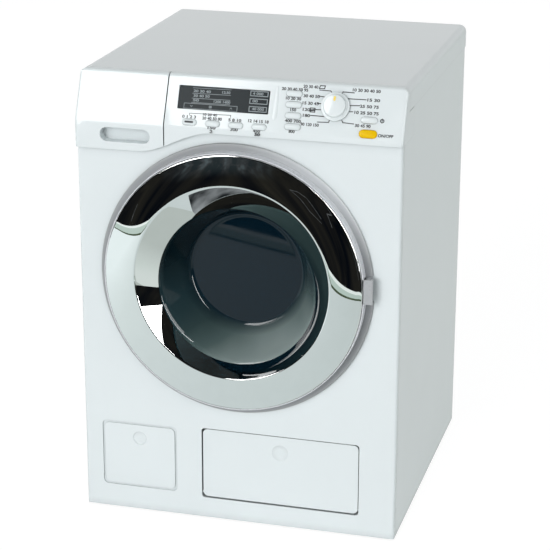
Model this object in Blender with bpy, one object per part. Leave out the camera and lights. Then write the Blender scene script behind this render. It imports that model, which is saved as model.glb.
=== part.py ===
"""A toy front-loading washing machine, made as the separate pieces that it comes apart into.

Metres, +Z up, the front faces -Y. The origin lies under the middle of the whole machine,
on the surface that the feet stand on. Depths are measured backwards from the front panel's
outer face, and heights upwards from the underside of the casing.
"""

import math

import bmesh
import bpy
from mathutils import Matrix, Vector

# Casing
BODY_WIDTH = 0.1840
BODY_DEPTH = 0.1826
BODY_HEIGHT = 0.2597
WALL = 0.0024
GAP = 0.0003
OVERRUN = 0.0020
PANEL_CORNER = 0.0014
PANEL_RETURN = 0.0042
TOP_OVERHANG = 0.0005
TOP_SKIRT = 0.0132
TOP_EDGE = 0.0040
COVER_RECESS = 0.0008

# Feet
FOOT_PROUD = 0.0012
FOOT_RADIUS = 0.0070
FOOT_STEM_RADIUS = 0.0022
FOOT_STEM_ABOVE_FLOOR = 0.0012
FOOT_FROM_SIDE = 0.0140
FOOT_FROM_END = 0.0160

# Control fascia, which the drawer front continues at the left
FASCIA_PROUD = 0.0025
FASCIA_WALL = 0.0022
FASCIA_EDGE = 0.0027
FASCIA_END = 0.0020
FASCIA_TOP_DEPTH = 0.0130
CHEEK_DEPTH = 0.0253
CREASE_DROP = 0.0262
SLANT_TURN = math.radians(23.9)
SEAM_LOW_DROP = 0.0160
SEAM_HIGH_DROP = 0.0031
SEAM_BEND_FROM_SPLIT = 0.0056
SEAM_BEND_RUN = 0.0420
PANEL_LAP = 0.0016
DRAWER_WIDTH = 0.0514
DRAWER_SPLIT_GAP = 0.0006
SPLIT_WALL = 0.0018

# Display window, placed on the slanted face by x and by the way up the slope
DISPLAY_X = -0.0083
DISPLAY_UP = 0.0161
DISPLAY_WIDTH = 0.0513
DISPLAY_HEIGHT = 0.0130
DISPLAY_SUNK = 0.0003
DISPLAY_FLANGE = 0.0014
DISPLAY_FLANGE_THICKNESS = 0.0009

# Push buttons: x, way up the slope, width, height and how far they stand out
BUTTON_TRAVEL = 0.0010
BUTTON_PROUD = 0.0012
BUTTON_CLEARANCE = 0.0003
BUTTON_SHOULDER = 0.0005
BUTTON_FLANGE = 0.0010
BUTTON_FLANGE_LIP = 0.0012
BUTTON_STEM_LENGTH = 0.0022
BUTTON_STEM_SHARE = 0.6
LOWER_KEY_NAMES = ("start_button", "temperature_button", "spin_button", "extra_button")
LOWER_KEY_FIRST_X = -0.0261
LOWER_KEY_PITCH = 0.0131
LOWER_KEY_UP = 0.0025
LOWER_KEY_WIDTH = 0.0078
LOWER_KEY_HEIGHT = 0.0030
SIDE_KEY_NAMES = ("option_button_4", "option_button_3", "option_button_2", "option_button_1")
SIDE_KEY_FROM_KNOB = 0.0224
SIDE_KEY_LEAN = 0.0003
SIDE_KEY_FIRST_UP = 0.0039
SIDE_KEY_PITCH = 0.0060
SIDE_KEY_WIDTH = 0.0086
SIDE_KEY_HEIGHT = 0.0031
POWER_KEY_FROM_SIDE = 0.0190
POWER_KEY_UP = 0.0103
POWER_KEY_WIDTH = 0.0088
POWER_KEY_HEIGHT = 0.0032
DOOR_KEY_FROM_SIDE = 0.0189
DOOR_KEY_UP = 0.0029
DOOR_KEY_WIDTH = 0.0096
DOOR_KEY_HEIGHT = 0.0041

# Programme knob
KNOB_FROM_SIDE = 0.0380
KNOB_UP = 0.0163
KNOB_SKIRT_RADIUS = 0.0079
KNOB_SKIRT_HEIGHT = 0.0016
KNOB_CAP_RADIUS = 0.0060
KNOB_CAP_HEIGHT = 0.0046
KNOB_EDGE = 0.0006
KNOB_SHAFT_RADIUS = 0.0024
KNOB_SHAFT_HOLE = 0.0030
KNOB_SOCKET_DEPTH = 0.0022

# Circuit board and key mat behind the fascia, and the switch that the knob turns
BOARD_THICKNESS = 0.0016
BOARD_INWARD = 0.0085
BOARD_END_SPACE = 0.0025
BOARD_LOW_UP = 0.0012
BOARD_HIGH_UP = 0.0242
MAT_THICKNESS = 0.0012
MAT_MARGIN = 0.0042
BOARD_POST_RADIUS = 0.0016
BOARD_POST_INSET = 0.0019
SWITCH_WIDTH = 0.0136
SWITCH_SLACK = 0.0004
SHAFT_END_SPACE = 0.0006

# Detergent drawer
GRIP_FROM_SPLIT = 0.0226
GRIP_DROP = 0.0076
GRIP_WIDTH = 0.0292
GRIP_TALL = 0.0080
GRIP_DEPTH = 0.0062
GRIP_WALL = 0.0014
TRAY_LEFT_SPACE = 0.0047
TRAY_RIGHT_SPACE = 0.0054
TRAY_FLOOR_DROP = 0.0109
TRAY_TOP_RISE = 0.0065
TRAY_FRONT_DEPTH = 0.0078
TRAY_LENGTH = 0.0700
TRAY_WALL = 0.0014
TRAY_DIVIDER_SHARES = (0.36, 0.68)
HOUSING_CLEARANCE = 0.0006
HOUSING_WALL = 0.0014
HOUSING_FRONT_SPACE = 0.0050
DRAWER_ARM_DROP = 0.0011
DRAWER_ARM_TALL = 0.0030

# Door mouth and drum share one level axis, a little under the door's own
MOUTH_DROP = 0.0025
MOUTH_RADIUS = 0.0585

# Door: its outer frame and chrome ring are centred a little higher than the window
DOOR_X = -0.0005
DOOR_HEIGHT = 0.1470
DOOR_PROUD = 0.0111
FRAME_RADIUS = 0.07855
FRAME_LIP_RADIUS = 0.0749
FRAME_LIP_PROUD = 0.0052
FRAME_WALL = 0.0020
FRAME_HOLE_RADIUS = 0.0513
FRAME_HOLE_DROP = 0.0026
RING_RADIUS = 0.0737
RING_SIDE_PROUD = 0.0078
RING_EDGE = 0.0010
RING_FACE_RADIUS = 0.0558
RING_FACE_LIFT = 0.0010
RING_WALL = 0.0017
FUNNEL_RADIUS = 0.04555
FUNNEL_DEPTH = 0.0014
WINDOW_DROP = 0.0043
WINDOW_RIM_RADIUS = 0.0450
WINDOW_FLANGE_RADIUS = 0.0476
WINDOW_THICKNESS = 0.0016
WINDOW_END_RADIUS = 0.0330
WINDOW_END_DEPTH = 0.0234
WINDOW_END_DROP = 0.0010
WINDOW_END_FILLET = 0.0022
RETAINER_RADIUS = 0.0560
RETAINER_HOLE_RADIUS = 0.0463
RETAINER_WALL = 0.0018

# Door hinge at the right and catch at the left
HINGE_X = 0.0765
HINGE_RISE = 0.0026
HINGE_PROUD = 0.0050
HINGE_TALL = 0.0141
HINGE_EAR_TALL = 0.0020
HINGE_EAR_RADIUS = 0.0018
HINGE_BASE_THICKNESS = 0.0008
HINGE_BASE_LEFT = 0.0033
HINGE_BASE_RIGHT = 0.0004
HINGE_PIN_RADIUS = 0.0010
RUNNING_FIT = 0.00006
HINGE_COVER_WALL = 0.0008
HINGE_COVER_LIP = 0.0004
HINGE_TONGUE_X = 0.0600
HINGE_TONGUE_TALL = 0.0084
HINGE_TONGUE_THICKNESS = 0.0022
FRAME_NOTCH_X = 0.0706
HOOK_LEFT_X = -0.0710
HOOK_WIDTH = 0.0036
HOOK_TALL = 0.0080
HOOK_LENGTH = 0.0095
HOOK_BARB = 0.0018
HOOK_BARB_LENGTH = 0.0025
CATCH_SPACE = 0.0011
CATCH_WALL = 0.0014
CATCH_BASE_WIDTH = 0.0090
CATCH_TALL = 0.0120
HOOK_SLOT_SPACE = 0.0012

# Door seal, tub and drum
SEAL_FLANGE_RADIUS = 0.0640
SEAL_NECK_RADIUS = 0.0618
SEAL_FOLD_RADIUS = 0.0576
SEAL_WALL = 0.0015
TUB_FRONT_DEPTH = 0.0180
TUB_RADIUS = 0.0702
TUB_MOUTH_RADIUS = 0.0565
TUB_WALL = 0.0022
TUB_BOSS_RADIUS = 0.0090
TUB_BOSS_LENGTH = 0.0095
TUB_POST_RADIUS = 0.0032
TUB_POST_RING_RADIUS = 0.0681
BUSH_WALL = 0.0013
DRUM_RADIUS = 0.0640
DRUM_WALL = 0.0016
DRUM_FRONT_DEPTH = 0.0228
DRUM_END_SPACE = 0.0027
DRUM_MOUTH_RADIUS = 0.0500
DRUM_CHAMFER = 0.0036
LIFTER_COUNT = 3
LIFTER_TALL = 0.0120
LIFTER_FOOT_WIDTH = 0.0120
LIFTER_TOP_WIDTH = 0.0060
LIFTER_END_SPACE = 0.0050
SHAFT_RADIUS = 0.0040
SHAFT_FLANGE_RADIUS = 0.0140
SHAFT_FLANGE_THICKNESS = 0.0017

# Gear train behind the tub
DRUM_GEAR_TEETH = 50
SMALL_GEAR_TEETH = 10
LARGE_GEAR_TEETH = 40
PINION_TEETH = 10
FIRST_MODULE = 0.0012
SECOND_MODULE = 0.0010
PRESSURE_TURN = math.radians(25.0)
BACKLASH_SHARE = 0.12
ADDENDUM_SHARE = 0.80
DEDENDUM_SHARE = 1.10
GEAR_AXIS_TURN = math.radians(-45.0)
GEAR_THICKNESS = 0.0050
GEAR_AXIAL_SPACE = 0.0014
GEAR_SLACK = 0.0008
GEAR_AXLE_RADIUS = 0.0015
GEAR_SHOULDER_RADIUS = 0.0030
MOTOR_SHAFT_RADIUS = 0.0010
MOTOR_WIDTH = 0.0200
MOTOR_TALL = 0.0150
MOTOR_LENGTH = 0.0250
MOTOR_REAR_SPACE = 0.0134
MOTOR_BOSS_RADIUS = 0.0030
BRACKET_THICKNESS = 0.0020
BRACKET_POST_RADIUS = 0.0030
BRACKET_RIM = 0.0060
BRACKET_POST_TURNS = (math.radians(24.0), math.radians(-102.0), math.radians(-55.0))
BRACKET_POST_RING_RADIUS = 0.0600

# Rear cover, its screws, the battery box and the loudspeaker
SCREW_RADIUS = 0.0012
SCREW_HEAD_RADIUS = 0.0026
SCREW_HEAD_THICKNESS = 0.0013
SCREW_SINK = 0.0012
SCREW_SINK_SPACE = 0.0004
SCREW_LENGTH = 0.0080
SCREW_SLOT = 0.0008
SCREW_BLOCK_WIDTH = 0.0080
SCREW_BLOCK_LENGTH = 0.0110
SCREW_LOW_HEIGHT = 0.0200
SCREW_HIGH_DROP = 0.0347
BATTERY_HEIGHT = 0.0380
BATTERY_SPACE_WIDTH = 0.0540
BATTERY_SPACE_TALL = 0.0460
BATTERY_SPACE_DEPTH = 0.0170
BATTERY_WALL = 0.0016
BATTERY_LID_MARGIN = 0.0013
BATTERY_LUG_WIDTH = 0.0100
BATTERY_LUG_TALL = 0.0074
BATTERY_LID_THICKNESS = 0.0020
SPEAKER_X = 0.0480
SPEAKER_DROP = 0.0547
SPEAKER_RADIUS = 0.0180
SPEAKER_RIM = 0.0030
SPEAKER_MAGNET_RADIUS = 0.0100
SPEAKER_MAGNET_LENGTH = 0.0060
SPEAKER_CONE_LENGTH = 0.0060
SLOT_COUNT = 6
SLOT_TALL = 0.0020
SLOT_PITCH = 0.0048

# Service flap at the lower right, and the moulded square at the lower left
FLAP_LEFT_X = -0.0206
FLAP_RIGHT_X = 0.0708
FLAP_LOW_HEIGHT = 0.0133
FLAP_HIGH_HEIGHT = 0.0552
FLAP_THICKNESS = 0.0020
FLAP_CORNER = 0.0028
FLAP_OPENING_CORNER = 0.0018
FLAP_GAP_LEFT = 0.0009
FLAP_GAP_RIGHT = 0.0004
FLAP_GAP_LOW = 0.0011
FLAP_GAP_HIGH = 0.0004
FLAP_BARREL_RADIUS = 0.0017
FLAP_STUB_RADIUS = 0.0010
FLAP_STUB_SPACE = 0.0008
FLAP_RIM_WIDTH = 0.0040
FLAP_RIM_DEPTH = 0.0046
FLAP_DIMPLE_HEIGHT = 0.0453
FLAP_DIMPLE_RADIUS = 0.0048
DIMPLE_DEPTH = 0.0011
POCKET_DEPTH = 0.0240
POCKET_WALL = 0.0016
SQUARE_LEFT_X = -0.0816
SQUARE_RIGHT_X = -0.0364
SQUARE_LOW_HEIGHT = 0.0139
SQUARE_HIGH_HEIGHT = 0.0542
SQUARE_GROOVE_WIDTH = 0.0014
SQUARE_GROOVE_DEPTH = 0.0007
SQUARE_DIMPLE_X = -0.0590
SQUARE_DIMPLE_HEIGHT = 0.0447
SQUARE_DIMPLE_RADIUS = 0.0042

# Sides of the round shapes
DOOR_SIDES = 48
DRUM_SIDES = 40
SHAFT_SIDES = 32
FINE_SIDES = 16
SCREW_SIDES = 12
CORNER_STEPS = 4
PILL_STEPS = 6
SEAM_STEPS = 12
DIMPLE_STEPS = 3
END_STEPS = 3
SMOOTH_TURN = math.radians(32.0)

HALF_WIDTH = BODY_WIDTH / 2
FRONT = (DOOR_PROUD - BODY_DEPTH) / 2
DRAWER_SPLIT_X = DRAWER_WIDTH - HALF_WIDTH
SEAM_BEND_X = DRAWER_SPLIT_X + SEAM_BEND_FROM_SPLIT
GRIP_X = DRAWER_SPLIT_X - GRIP_FROM_SPLIT
TRAY_LEFT_X = TRAY_LEFT_SPACE - HALF_WIDTH
TRAY_RIGHT_X = DRAWER_SPLIT_X - TRAY_RIGHT_SPACE
BOARD_LEFT_X = DRAWER_SPLIT_X + BOARD_END_SPACE
BOARD_RIGHT_X = HALF_WIDTH - BOARD_END_SPACE
KNOB_X = HALF_WIDTH - KNOB_FROM_SIDE
SIDE_KEY_X = KNOB_X - SIDE_KEY_FROM_KNOB
POWER_KEY_X = HALF_WIDTH - POWER_KEY_FROM_SIDE
DOOR_KEY_X = HALF_WIDTH - DOOR_KEY_FROM_SIDE
SKIRT_HEIGHT = BODY_HEIGHT - TOP_SKIRT
COVER_DEPTH = BODY_DEPTH - COVER_RECESS - WALL
DRAWER_END_X = DRAWER_SPLIT_X - DRAWER_SPLIT_GAP / 2
FASCIA_END_X = DRAWER_SPLIT_X + DRAWER_SPLIT_GAP / 2
OUTER_X = HALF_WIDTH + TOP_OVERHANG
MOUTH_HEIGHT = DOOR_HEIGHT - MOUTH_DROP
HINGE_HEIGHT = DOOR_HEIGHT + HINGE_RISE
CREASE_HEIGHT = BODY_HEIGHT - CREASE_DROP
SEAM_LOW_HEIGHT = CREASE_HEIGHT - SEAM_LOW_DROP
SEAM_HIGH_HEIGHT = CREASE_HEIGHT - SEAM_HIGH_DROP
GRIP_HEIGHT = CREASE_HEIGHT - GRIP_DROP
TRAY_FLOOR_HEIGHT = CREASE_HEIGHT - TRAY_FLOOR_DROP
TRAY_TOP_HEIGHT = CREASE_HEIGHT + TRAY_TOP_RISE
DRAWER_ARM_TOP_HEIGHT = CREASE_HEIGHT - DRAWER_ARM_DROP
SCREW_HIGH_HEIGHT = BODY_HEIGHT - SCREW_HIGH_DROP
SPEAKER_HEIGHT = BODY_HEIGHT - SPEAKER_DROP
GEAR_PAIR_LENGTH = 2 * GEAR_THICKNESS + GEAR_AXIAL_SPACE + 2 * GEAR_SLACK
DRIVE_LENGTH = TUB_BOSS_LENGTH + GEAR_PAIR_LENGTH + BRACKET_THICKNESS + MOTOR_LENGTH
TUB_BACK_DEPTH = COVER_DEPTH - MOTOR_REAR_SPACE - DRIVE_LENGTH
DRUM_BACK_DEPTH = TUB_BACK_DEPTH - TUB_WALL - DRUM_END_SPACE
GEAR_DEPTH = TUB_BACK_DEPTH + TUB_BOSS_LENGTH + GEAR_SLACK
SECOND_GEAR_DEPTH = GEAR_DEPTH + GEAR_THICKNESS + GEAR_AXIAL_SPACE
BRACKET_DEPTH = SECOND_GEAR_DEPTH + GEAR_THICKNESS + GEAR_SLACK
FIRST_CENTRES = FIRST_MODULE * (DRUM_GEAR_TEETH + SMALL_GEAR_TEETH) / 2
SECOND_CENTRES = SECOND_MODULE * (LARGE_GEAR_TEETH + PINION_TEETH) / 2
GEAR_AXLE_X = FIRST_CENTRES * math.cos(GEAR_AXIS_TURN)
GEAR_AXLE_HEIGHT = MOUTH_HEIGHT + FIRST_CENTRES * math.sin(GEAR_AXIS_TURN)
MOTOR_X = GEAR_AXLE_X + SECOND_CENTRES


def y_at(depth):
    return FRONT + depth


def z_at(height):
    return FOOT_PROUD + height


# Meshes from outlines

def add_piece(name, vertices, faces, finish):
    mesh = bpy.data.meshes.new(name)
    mesh.from_pydata(vertices, [], faces)
    work = bmesh.new()
    work.from_mesh(mesh)
    bmesh.ops.recalc_face_normals(work, faces=work.faces)
    work.to_mesh(mesh)
    work.free()
    mesh.materials.append(finish)
    piece = bpy.data.objects.new(name, mesh)
    bpy.context.scene.collection.objects.link(piece)
    return piece


def loft(name, loops, finish, ring=False):
    """Skins a row of loops with equal counts, and caps both ends or joins them into a ring."""
    count = len(loops[0])
    vertices = [point for loop in loops for point in loop]
    faces = []
    spans = len(loops) if ring else len(loops) - 1
    for span in range(spans):
        low = span * count
        high = (span + 1) % len(loops) * count
        for step in range(count):
            after = (step + 1) % count
            faces.append((low + step, low + after, high + after, high + step))
    if not ring:
        faces.append(tuple(range(count)))
        faces.append(tuple(range(len(vertices) - count, len(vertices))))
    return add_piece(name, vertices, faces, finish)


def on_axis(axis, first, second, along):
    """A point of an outline: two values across the axis, and its place along the axis."""
    return {"X": (along, first, second), "Y": (first, along, second), "Z": (first, second, along)}[axis]


def prism(name, outline, axis, low, high, finish):
    loops = [[on_axis(axis, first, second, along) for first, second in outline] for along in (low, high)]
    return loft(name, loops, finish)


def box(name, low, high, finish):
    outline = [(low[0], low[2]), (high[0], low[2]), (high[0], high[2]), (low[0], high[2])]
    return prism(name, outline, "Y", low[1], high[1], finish)


def circle(radius, sides, across=0.0, up=0.0):
    turns = [math.tau * side / sides for side in range(sides)]
    return [(across + radius * math.cos(turn), up + radius * math.sin(turn)) for turn in turns]


def arc(centre, radius, start, end, steps):
    turns = [start + (end - start) * step / steps for step in range(steps + 1)]
    return [(centre[0] + radius * math.cos(turn), centre[1] + radius * math.sin(turn)) for turn in turns]


def rounded(left, right, low, high, radius, steps=CORNER_STEPS):
    """An outline with four round corners, running anticlockwise from the lower left."""
    radius = min(radius, (right - left) / 2, (high - low) / 2)
    centres = ((left, low, 1, 1), (right, low, -1, 1), (right, high, -1, -1), (left, high, 1, -1))
    outline = []
    for quarter, (across, up, inward, upward) in enumerate(centres):
        start = math.pi + quarter * math.pi / 2
        centre = (across + inward * radius, up + upward * radius)
        outline += arc(centre, radius, start, start + math.pi / 2, steps)
    return outline


def pill(width, tall, across=0.0, up=0.0):
    """A level bar's outline with half-round ends."""
    radius = tall / 2
    reach = width / 2 - radius
    right = arc((across + reach, up), radius, -math.pi / 2, math.pi / 2, PILL_STEPS)
    return right + arc((across - reach, up), radius, math.pi / 2, math.pi * 1.5, PILL_STEPS)


def turned(name, rows, finish, sides, ring=False, across=0.0, up=0.0):
    """A shape turned about a level axis; each row is a radius, a depth and how far its centre is lifted."""
    loops = []
    for radius, along, *lift in rows:
        outline = circle(radius, sides, across, up + (lift[0] if lift else 0.0))
        loops.append([on_axis("Y", first, second, along) for first, second in outline])
    return loft(name, loops, finish, ring)


def upright(name, rows, finish, sides, across, along_y):
    """A shape turned about an upright axis; each row is a radius and a height above the floor."""
    loops = []
    for radius, height in rows:
        loops.append([on_axis("Z", first, second, height)
                      for first, second in circle(radius, sides, across, along_y)])
    return loft(name, loops, finish)


# Cuts and joins

def combine(target, tools, operation):
    for tool in tools:
        change = target.modifiers.new(operation.lower(), "BOOLEAN")
        change.operation = operation
        change.solver = "EXACT"
        change.object = tool
        graph = bpy.context.evaluated_depsgraph_get()
        mesh = bpy.data.meshes.new_from_object(target.evaluated_get(graph))
        target.modifiers.clear()
        finish = target.data.materials[0]
        target.data = mesh
        mesh.name = target.name
        mesh.materials.clear()
        mesh.materials.append(finish)
        mesh.polygons.foreach_set("material_index", [0] * len(mesh.polygons))
        bpy.data.objects.remove(tool)
    return target


def cut(target, *tools):
    return combine(target, tools, "DIFFERENCE")


def fuse(target, *tools):
    return combine(target, tools, "UNION")


def trim(target, *tools):
    return combine(target, tools, "INTERSECT")


def hole_radius(radius, clearance, sides):
    """The corner radius of a faceted hole whose flats clear a round piece."""
    return (radius + clearance) / math.cos(math.pi / sides)


def set_origin(pieces, point):
    """Moves the pieces' own origins to a point, such as one on a joint's axis."""
    for piece in pieces:
        piece.data.transform(Matrix.Translation(-Vector(point)))
        piece.location = point


# Finishes

def make_finish(name, colour, roughness, metallic=0.0, clear=0.0):
    finish = bpy.data.materials.new(name)
    finish.use_nodes = True
    shader = finish.node_tree.nodes["Principled BSDF"]
    shader.inputs["Base Color"].default_value = (*colour, 1.0)
    shader.inputs["Roughness"].default_value = roughness
    shader.inputs["Metallic"].default_value = metallic
    shader.inputs["Transmission Weight"].default_value = clear
    finish.diffuse_color = (*colour, 1.0)
    return finish


def make_finishes():
    return {
        "white": make_finish("white_plastic", (0.80, 0.84, 0.85), 0.30),
        "inner": make_finish("inner_plastic", (0.70, 0.71, 0.70), 0.45),
        "grey": make_finish("grey_plastic", (0.32, 0.32, 0.33), 0.42),
        "light_grey": make_finish("light_grey_plastic", (0.48, 0.48, 0.50), 0.40),
        "dark": make_finish("dark_plastic", (0.02, 0.02, 0.022), 0.20),
        "orange": make_finish("orange_plastic", (1.0, 0.42, 0.01), 0.30),
        "chrome": make_finish("chrome", (0.86, 0.87, 0.88), 0.04, 1.0),
        "steel": make_finish("steel", (0.56, 0.57, 0.58), 0.30, 1.0),
        "drum": make_finish("drum_grey", (0.45, 0.46, 0.48), 0.35, 0.6),
        "smoke": make_finish("smoked_window", (0.10, 0.13, 0.16), 0.06, 0.0, 0.6),
        "rubber": make_finish("rubber", (0.06, 0.06, 0.065), 0.75),
        "pale_rubber": make_finish("pale_rubber", (0.38, 0.39, 0.40), 0.65),
        "board": make_finish("board_green", (0.03, 0.20, 0.08), 0.50),
        "gear": make_finish("gear_plastic", (0.72, 0.70, 0.62), 0.45),
    }


# Casing

def seam_height(across):
    """The lower edge of the fascia and drawer front, which rises in an S towards the right."""
    run = (across - SEAM_BEND_X) / SEAM_BEND_RUN + 0.5
    run = min(max(run, 0.0), 1.0)
    rise = run * run * (3 - 2 * run)
    return SEAM_LOW_HEIGHT + (SEAM_HIGH_HEIGHT - SEAM_LOW_HEIGHT) * rise


def seam_line(left, right, lift):
    """Points along the seam between two places, raised by lift."""
    start = SEAM_BEND_X - SEAM_BEND_RUN / 2
    places = [start + SEAM_BEND_RUN * step / SEAM_STEPS for step in range(SEAM_STEPS + 1)]
    places = [left] + [place for place in places if left < place < right] + [right]
    return [(place, z_at(seam_height(place) + lift)) for place in places]


def slant_point(up, inward):
    """The y and z of a point on the slanted face, by the way up the slope and the way in."""
    depth = -FASCIA_PROUD + up * math.sin(SLANT_TURN) + inward * math.cos(SLANT_TURN)
    height = CREASE_HEIGHT + up * math.cos(SLANT_TURN) - inward * math.sin(SLANT_TURN)
    return y_at(depth), z_at(height)


def put_on_slant(piece):
    """Takes a piece built with x, way in and way up the slope to its place on the slanted face."""
    crease = (0.0, *slant_point(0.0, 0.0))
    piece.data.transform(Matrix.Translation(crease) @ Matrix.Rotation(-SLANT_TURN, 4, "X"))
    return piece


def add_front_panel(finish):
    side = HALF_WIDTH - WALL
    back = y_at(PANEL_RETURN)
    left = arc((PANEL_CORNER - HALF_WIDTH, y_at(PANEL_CORNER)), PANEL_CORNER,
               math.pi, math.pi * 1.5, CORNER_STEPS)
    right = [(-across, along) for across, along in reversed(left)]
    outline = ([(-HALF_WIDTH, back)] + left + right + [(HALF_WIDTH, back), (side, back),
               (side, y_at(WALL)), (-side, y_at(WALL)), (-side, back)])
    panel = prism("front_panel", outline, "Z", z_at(0.0), z_at(SEAM_HIGH_HEIGHT + PANEL_LAP), finish)
    floor = box("floor_return", (-side - OVERRUN / 2, y_at(WALL / 2), z_at(0.0)),
                (side + OVERRUN / 2, back, z_at(WALL)), finish)
    cheek = OUTER_X - FASCIA_WALL - GAP
    edge = HALF_WIDTH + OVERRUN
    top = z_at(BODY_HEIGHT)
    above = ([(-edge, z_at(SEAM_LOW_HEIGHT - GAP)), (-cheek, z_at(SEAM_LOW_HEIGHT - GAP))]
             + seam_line(-cheek, cheek, PANEL_LAP)
             + [(cheek, z_at(SEAM_HIGH_HEIGHT - GAP)), (edge, z_at(SEAM_HIGH_HEIGHT - GAP)),
                (edge, top), (-edge, top)])
    above_seam = prism("above_seam", above, "Y", y_at(-OVERRUN), back + OVERRUN, finish)
    fuse(panel, floor)
    cut(panel, above_seam)
    rim = prism("flap_rim", flap_opening(FLAP_RIM_WIDTH), "Y", y_at(WALL / 2), y_at(FLAP_RIM_DEPTH), finish)
    fuse(panel, rim, *tub_posts(finish))
    mouth = prism("mouth", circle(MOUTH_RADIUS, DOOR_SIDES, 0.0, z_at(MOUTH_HEIGHT)), "Y",
                  y_at(-OVERRUN), y_at(WALL + OVERRUN), finish)
    opening = prism("flap_hole", flap_opening(0.0), "Y", y_at(-OVERRUN), y_at(FLAP_RIM_DEPTH + OVERRUN),
                    finish)
    cut(panel, mouth, opening, hook_slot(finish), flap_bearing(finish), *square_cutters(finish))
    return panel


def flap_opening(margin):
    """The outline of the hole for the service flap, made wider all round by a margin."""
    return rounded(FLAP_LEFT_X - FLAP_GAP_LEFT - margin, FLAP_RIGHT_X + FLAP_GAP_RIGHT + margin,
                   z_at(FLAP_LOW_HEIGHT - FLAP_GAP_LOW - margin),
                   z_at(FLAP_HIGH_HEIGHT + FLAP_GAP_HIGH + margin), FLAP_OPENING_CORNER + margin)


def flap_axis():
    """Depth and height of the line that the service flap turns on."""
    return FLAP_THICKNESS, FLAP_LOW_HEIGHT + FLAP_THICKNESS


def flap_bearing(finish):
    """One rod that cuts the two bearing holes of the flap."""
    depth, height = flap_axis()
    reach = FLAP_STUB_SPACE + FLAP_RIM_WIDTH - POCKET_WALL
    radius = hole_radius(FLAP_STUB_RADIUS, RUNNING_FIT, FINE_SIDES)
    outline = circle(radius, FINE_SIDES, y_at(depth), z_at(height))
    return prism("flap_bearing", outline, "X", FLAP_LEFT_X - FLAP_GAP_LEFT - reach,
                 FLAP_RIGHT_X + FLAP_GAP_RIGHT + reach, finish)


def tub_posts(finish):
    """Four posts behind the front panel that the tub's front wall rests on."""
    posts = []
    for corner in range(4):
        turn = math.pi / 4 + corner * math.pi / 2
        across = TUB_POST_RING_RADIUS * math.cos(turn)
        up = z_at(MOUTH_HEIGHT) + TUB_POST_RING_RADIUS * math.sin(turn)
        posts.append(prism(f"tub_post_{corner}", circle(TUB_POST_RADIUS, FINE_SIDES, across, up), "Y",
                           y_at(WALL / 2), y_at(TUB_FRONT_DEPTH - GAP), finish))
    return posts


def hook_slot(finish):
    slack = HOOK_SLOT_SPACE
    left = HOOK_LEFT_X - HOOK_BARB - slack
    right = HOOK_LEFT_X + HOOK_WIDTH + slack
    low = DOOR_HEIGHT - HOOK_TALL / 2 - slack
    high = DOOR_HEIGHT + HOOK_TALL / 2 + slack
    return box("hook_slot", (left, y_at(-OVERRUN), z_at(low)),
               (right, y_at(WALL + OVERRUN), z_at(high)), finish)


def dimple(name, across, height, radius, depth, finish):
    """A shallow round finger dimple, cut into an upright face."""
    rows = [(radius, y_at(-OVERRUN))]
    for step in range(DIMPLE_STEPS):
        turn = math.pi / 2 * step / DIMPLE_STEPS
        rows.append((radius * math.cos(turn), y_at(depth * math.sin(turn))))
    return turned(name, rows, finish, FINE_SIDES + FINE_SIDES // 2, False, across, z_at(height))


def square_cutters(finish):
    """The groove round the moulded square, and the dimple in it."""
    groove = prism("square_groove", square_outline(0.0), "Y",
                   y_at(-OVERRUN), y_at(SQUARE_GROOVE_DEPTH), finish)
    island = prism("square_island", square_outline(SQUARE_GROOVE_WIDTH), "Y", y_at(-OVERRUN - OVERRUN),
                   y_at(SQUARE_GROOVE_DEPTH + OVERRUN), finish)
    cut(groove, island)
    return groove, dimple("square_dimple", SQUARE_DIMPLE_X, SQUARE_DIMPLE_HEIGHT, SQUARE_DIMPLE_RADIUS,
                          DIMPLE_DEPTH, finish)


def square_outline(inset):
    return rounded(SQUARE_LEFT_X + inset, SQUARE_RIGHT_X - inset, z_at(SQUARE_LOW_HEIGHT + inset),
                   z_at(SQUARE_HIGH_HEIGHT - inset), FLAP_CORNER)


def add_cabinet(finish):
    """Both side walls and the floor in one moulding, with blocks for the rear screws."""
    side = HALF_WIDTH - WALL
    top = z_at(SKIRT_HEIGHT - GAP)
    outline = [(-HALF_WIDTH, top), (-HALF_WIDTH, z_at(0.0)), (HALF_WIDTH, z_at(0.0)), (HALF_WIDTH, top),
               (side, top), (side, z_at(WALL)), (-side, z_at(WALL)), (-side, top)]
    cabinet = prism("cabinet", outline, "Y", y_at(PANEL_RETURN + GAP), y_at(BODY_DEPTH), finish)
    for sign, seam in ((-1, SEAM_LOW_HEIGHT), (1, SEAM_HIGH_HEIGHT)):
        inner, outer = sorted((sign * (side - OVERRUN), sign * (HALF_WIDTH + OVERRUN)))
        notch = box("cheek_notch", (inner, y_at(0.0), z_at(seam - GAP)),
                    (outer, y_at(CHEEK_DEPTH + GAP), top + OVERRUN), finish)
        cut(cabinet, notch)
    for across, height in rear_screw_places():
        fuse(cabinet, screw_block(across, height, finish))
    for across, height in rear_screw_places():
        cut(cabinet, screw_hole(across, height, SCREW_LENGTH, finish))
    for across, along in foot_places():
        hole = circle(FOOT_STEM_RADIUS + GAP, FINE_SIDES, across, along)
        cut(cabinet, prism("foot_hole", hole, "Z", z_at(-OVERRUN), z_at(WALL + OVERRUN), finish))
    return cabinet


def rear_screw_places():
    across = HALF_WIDTH - WALL - SCREW_BLOCK_WIDTH / 2
    return [(sign * across, height) for height in (SCREW_LOW_HEIGHT, SCREW_HIGH_HEIGHT) for sign in (-1, 1)]


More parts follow.
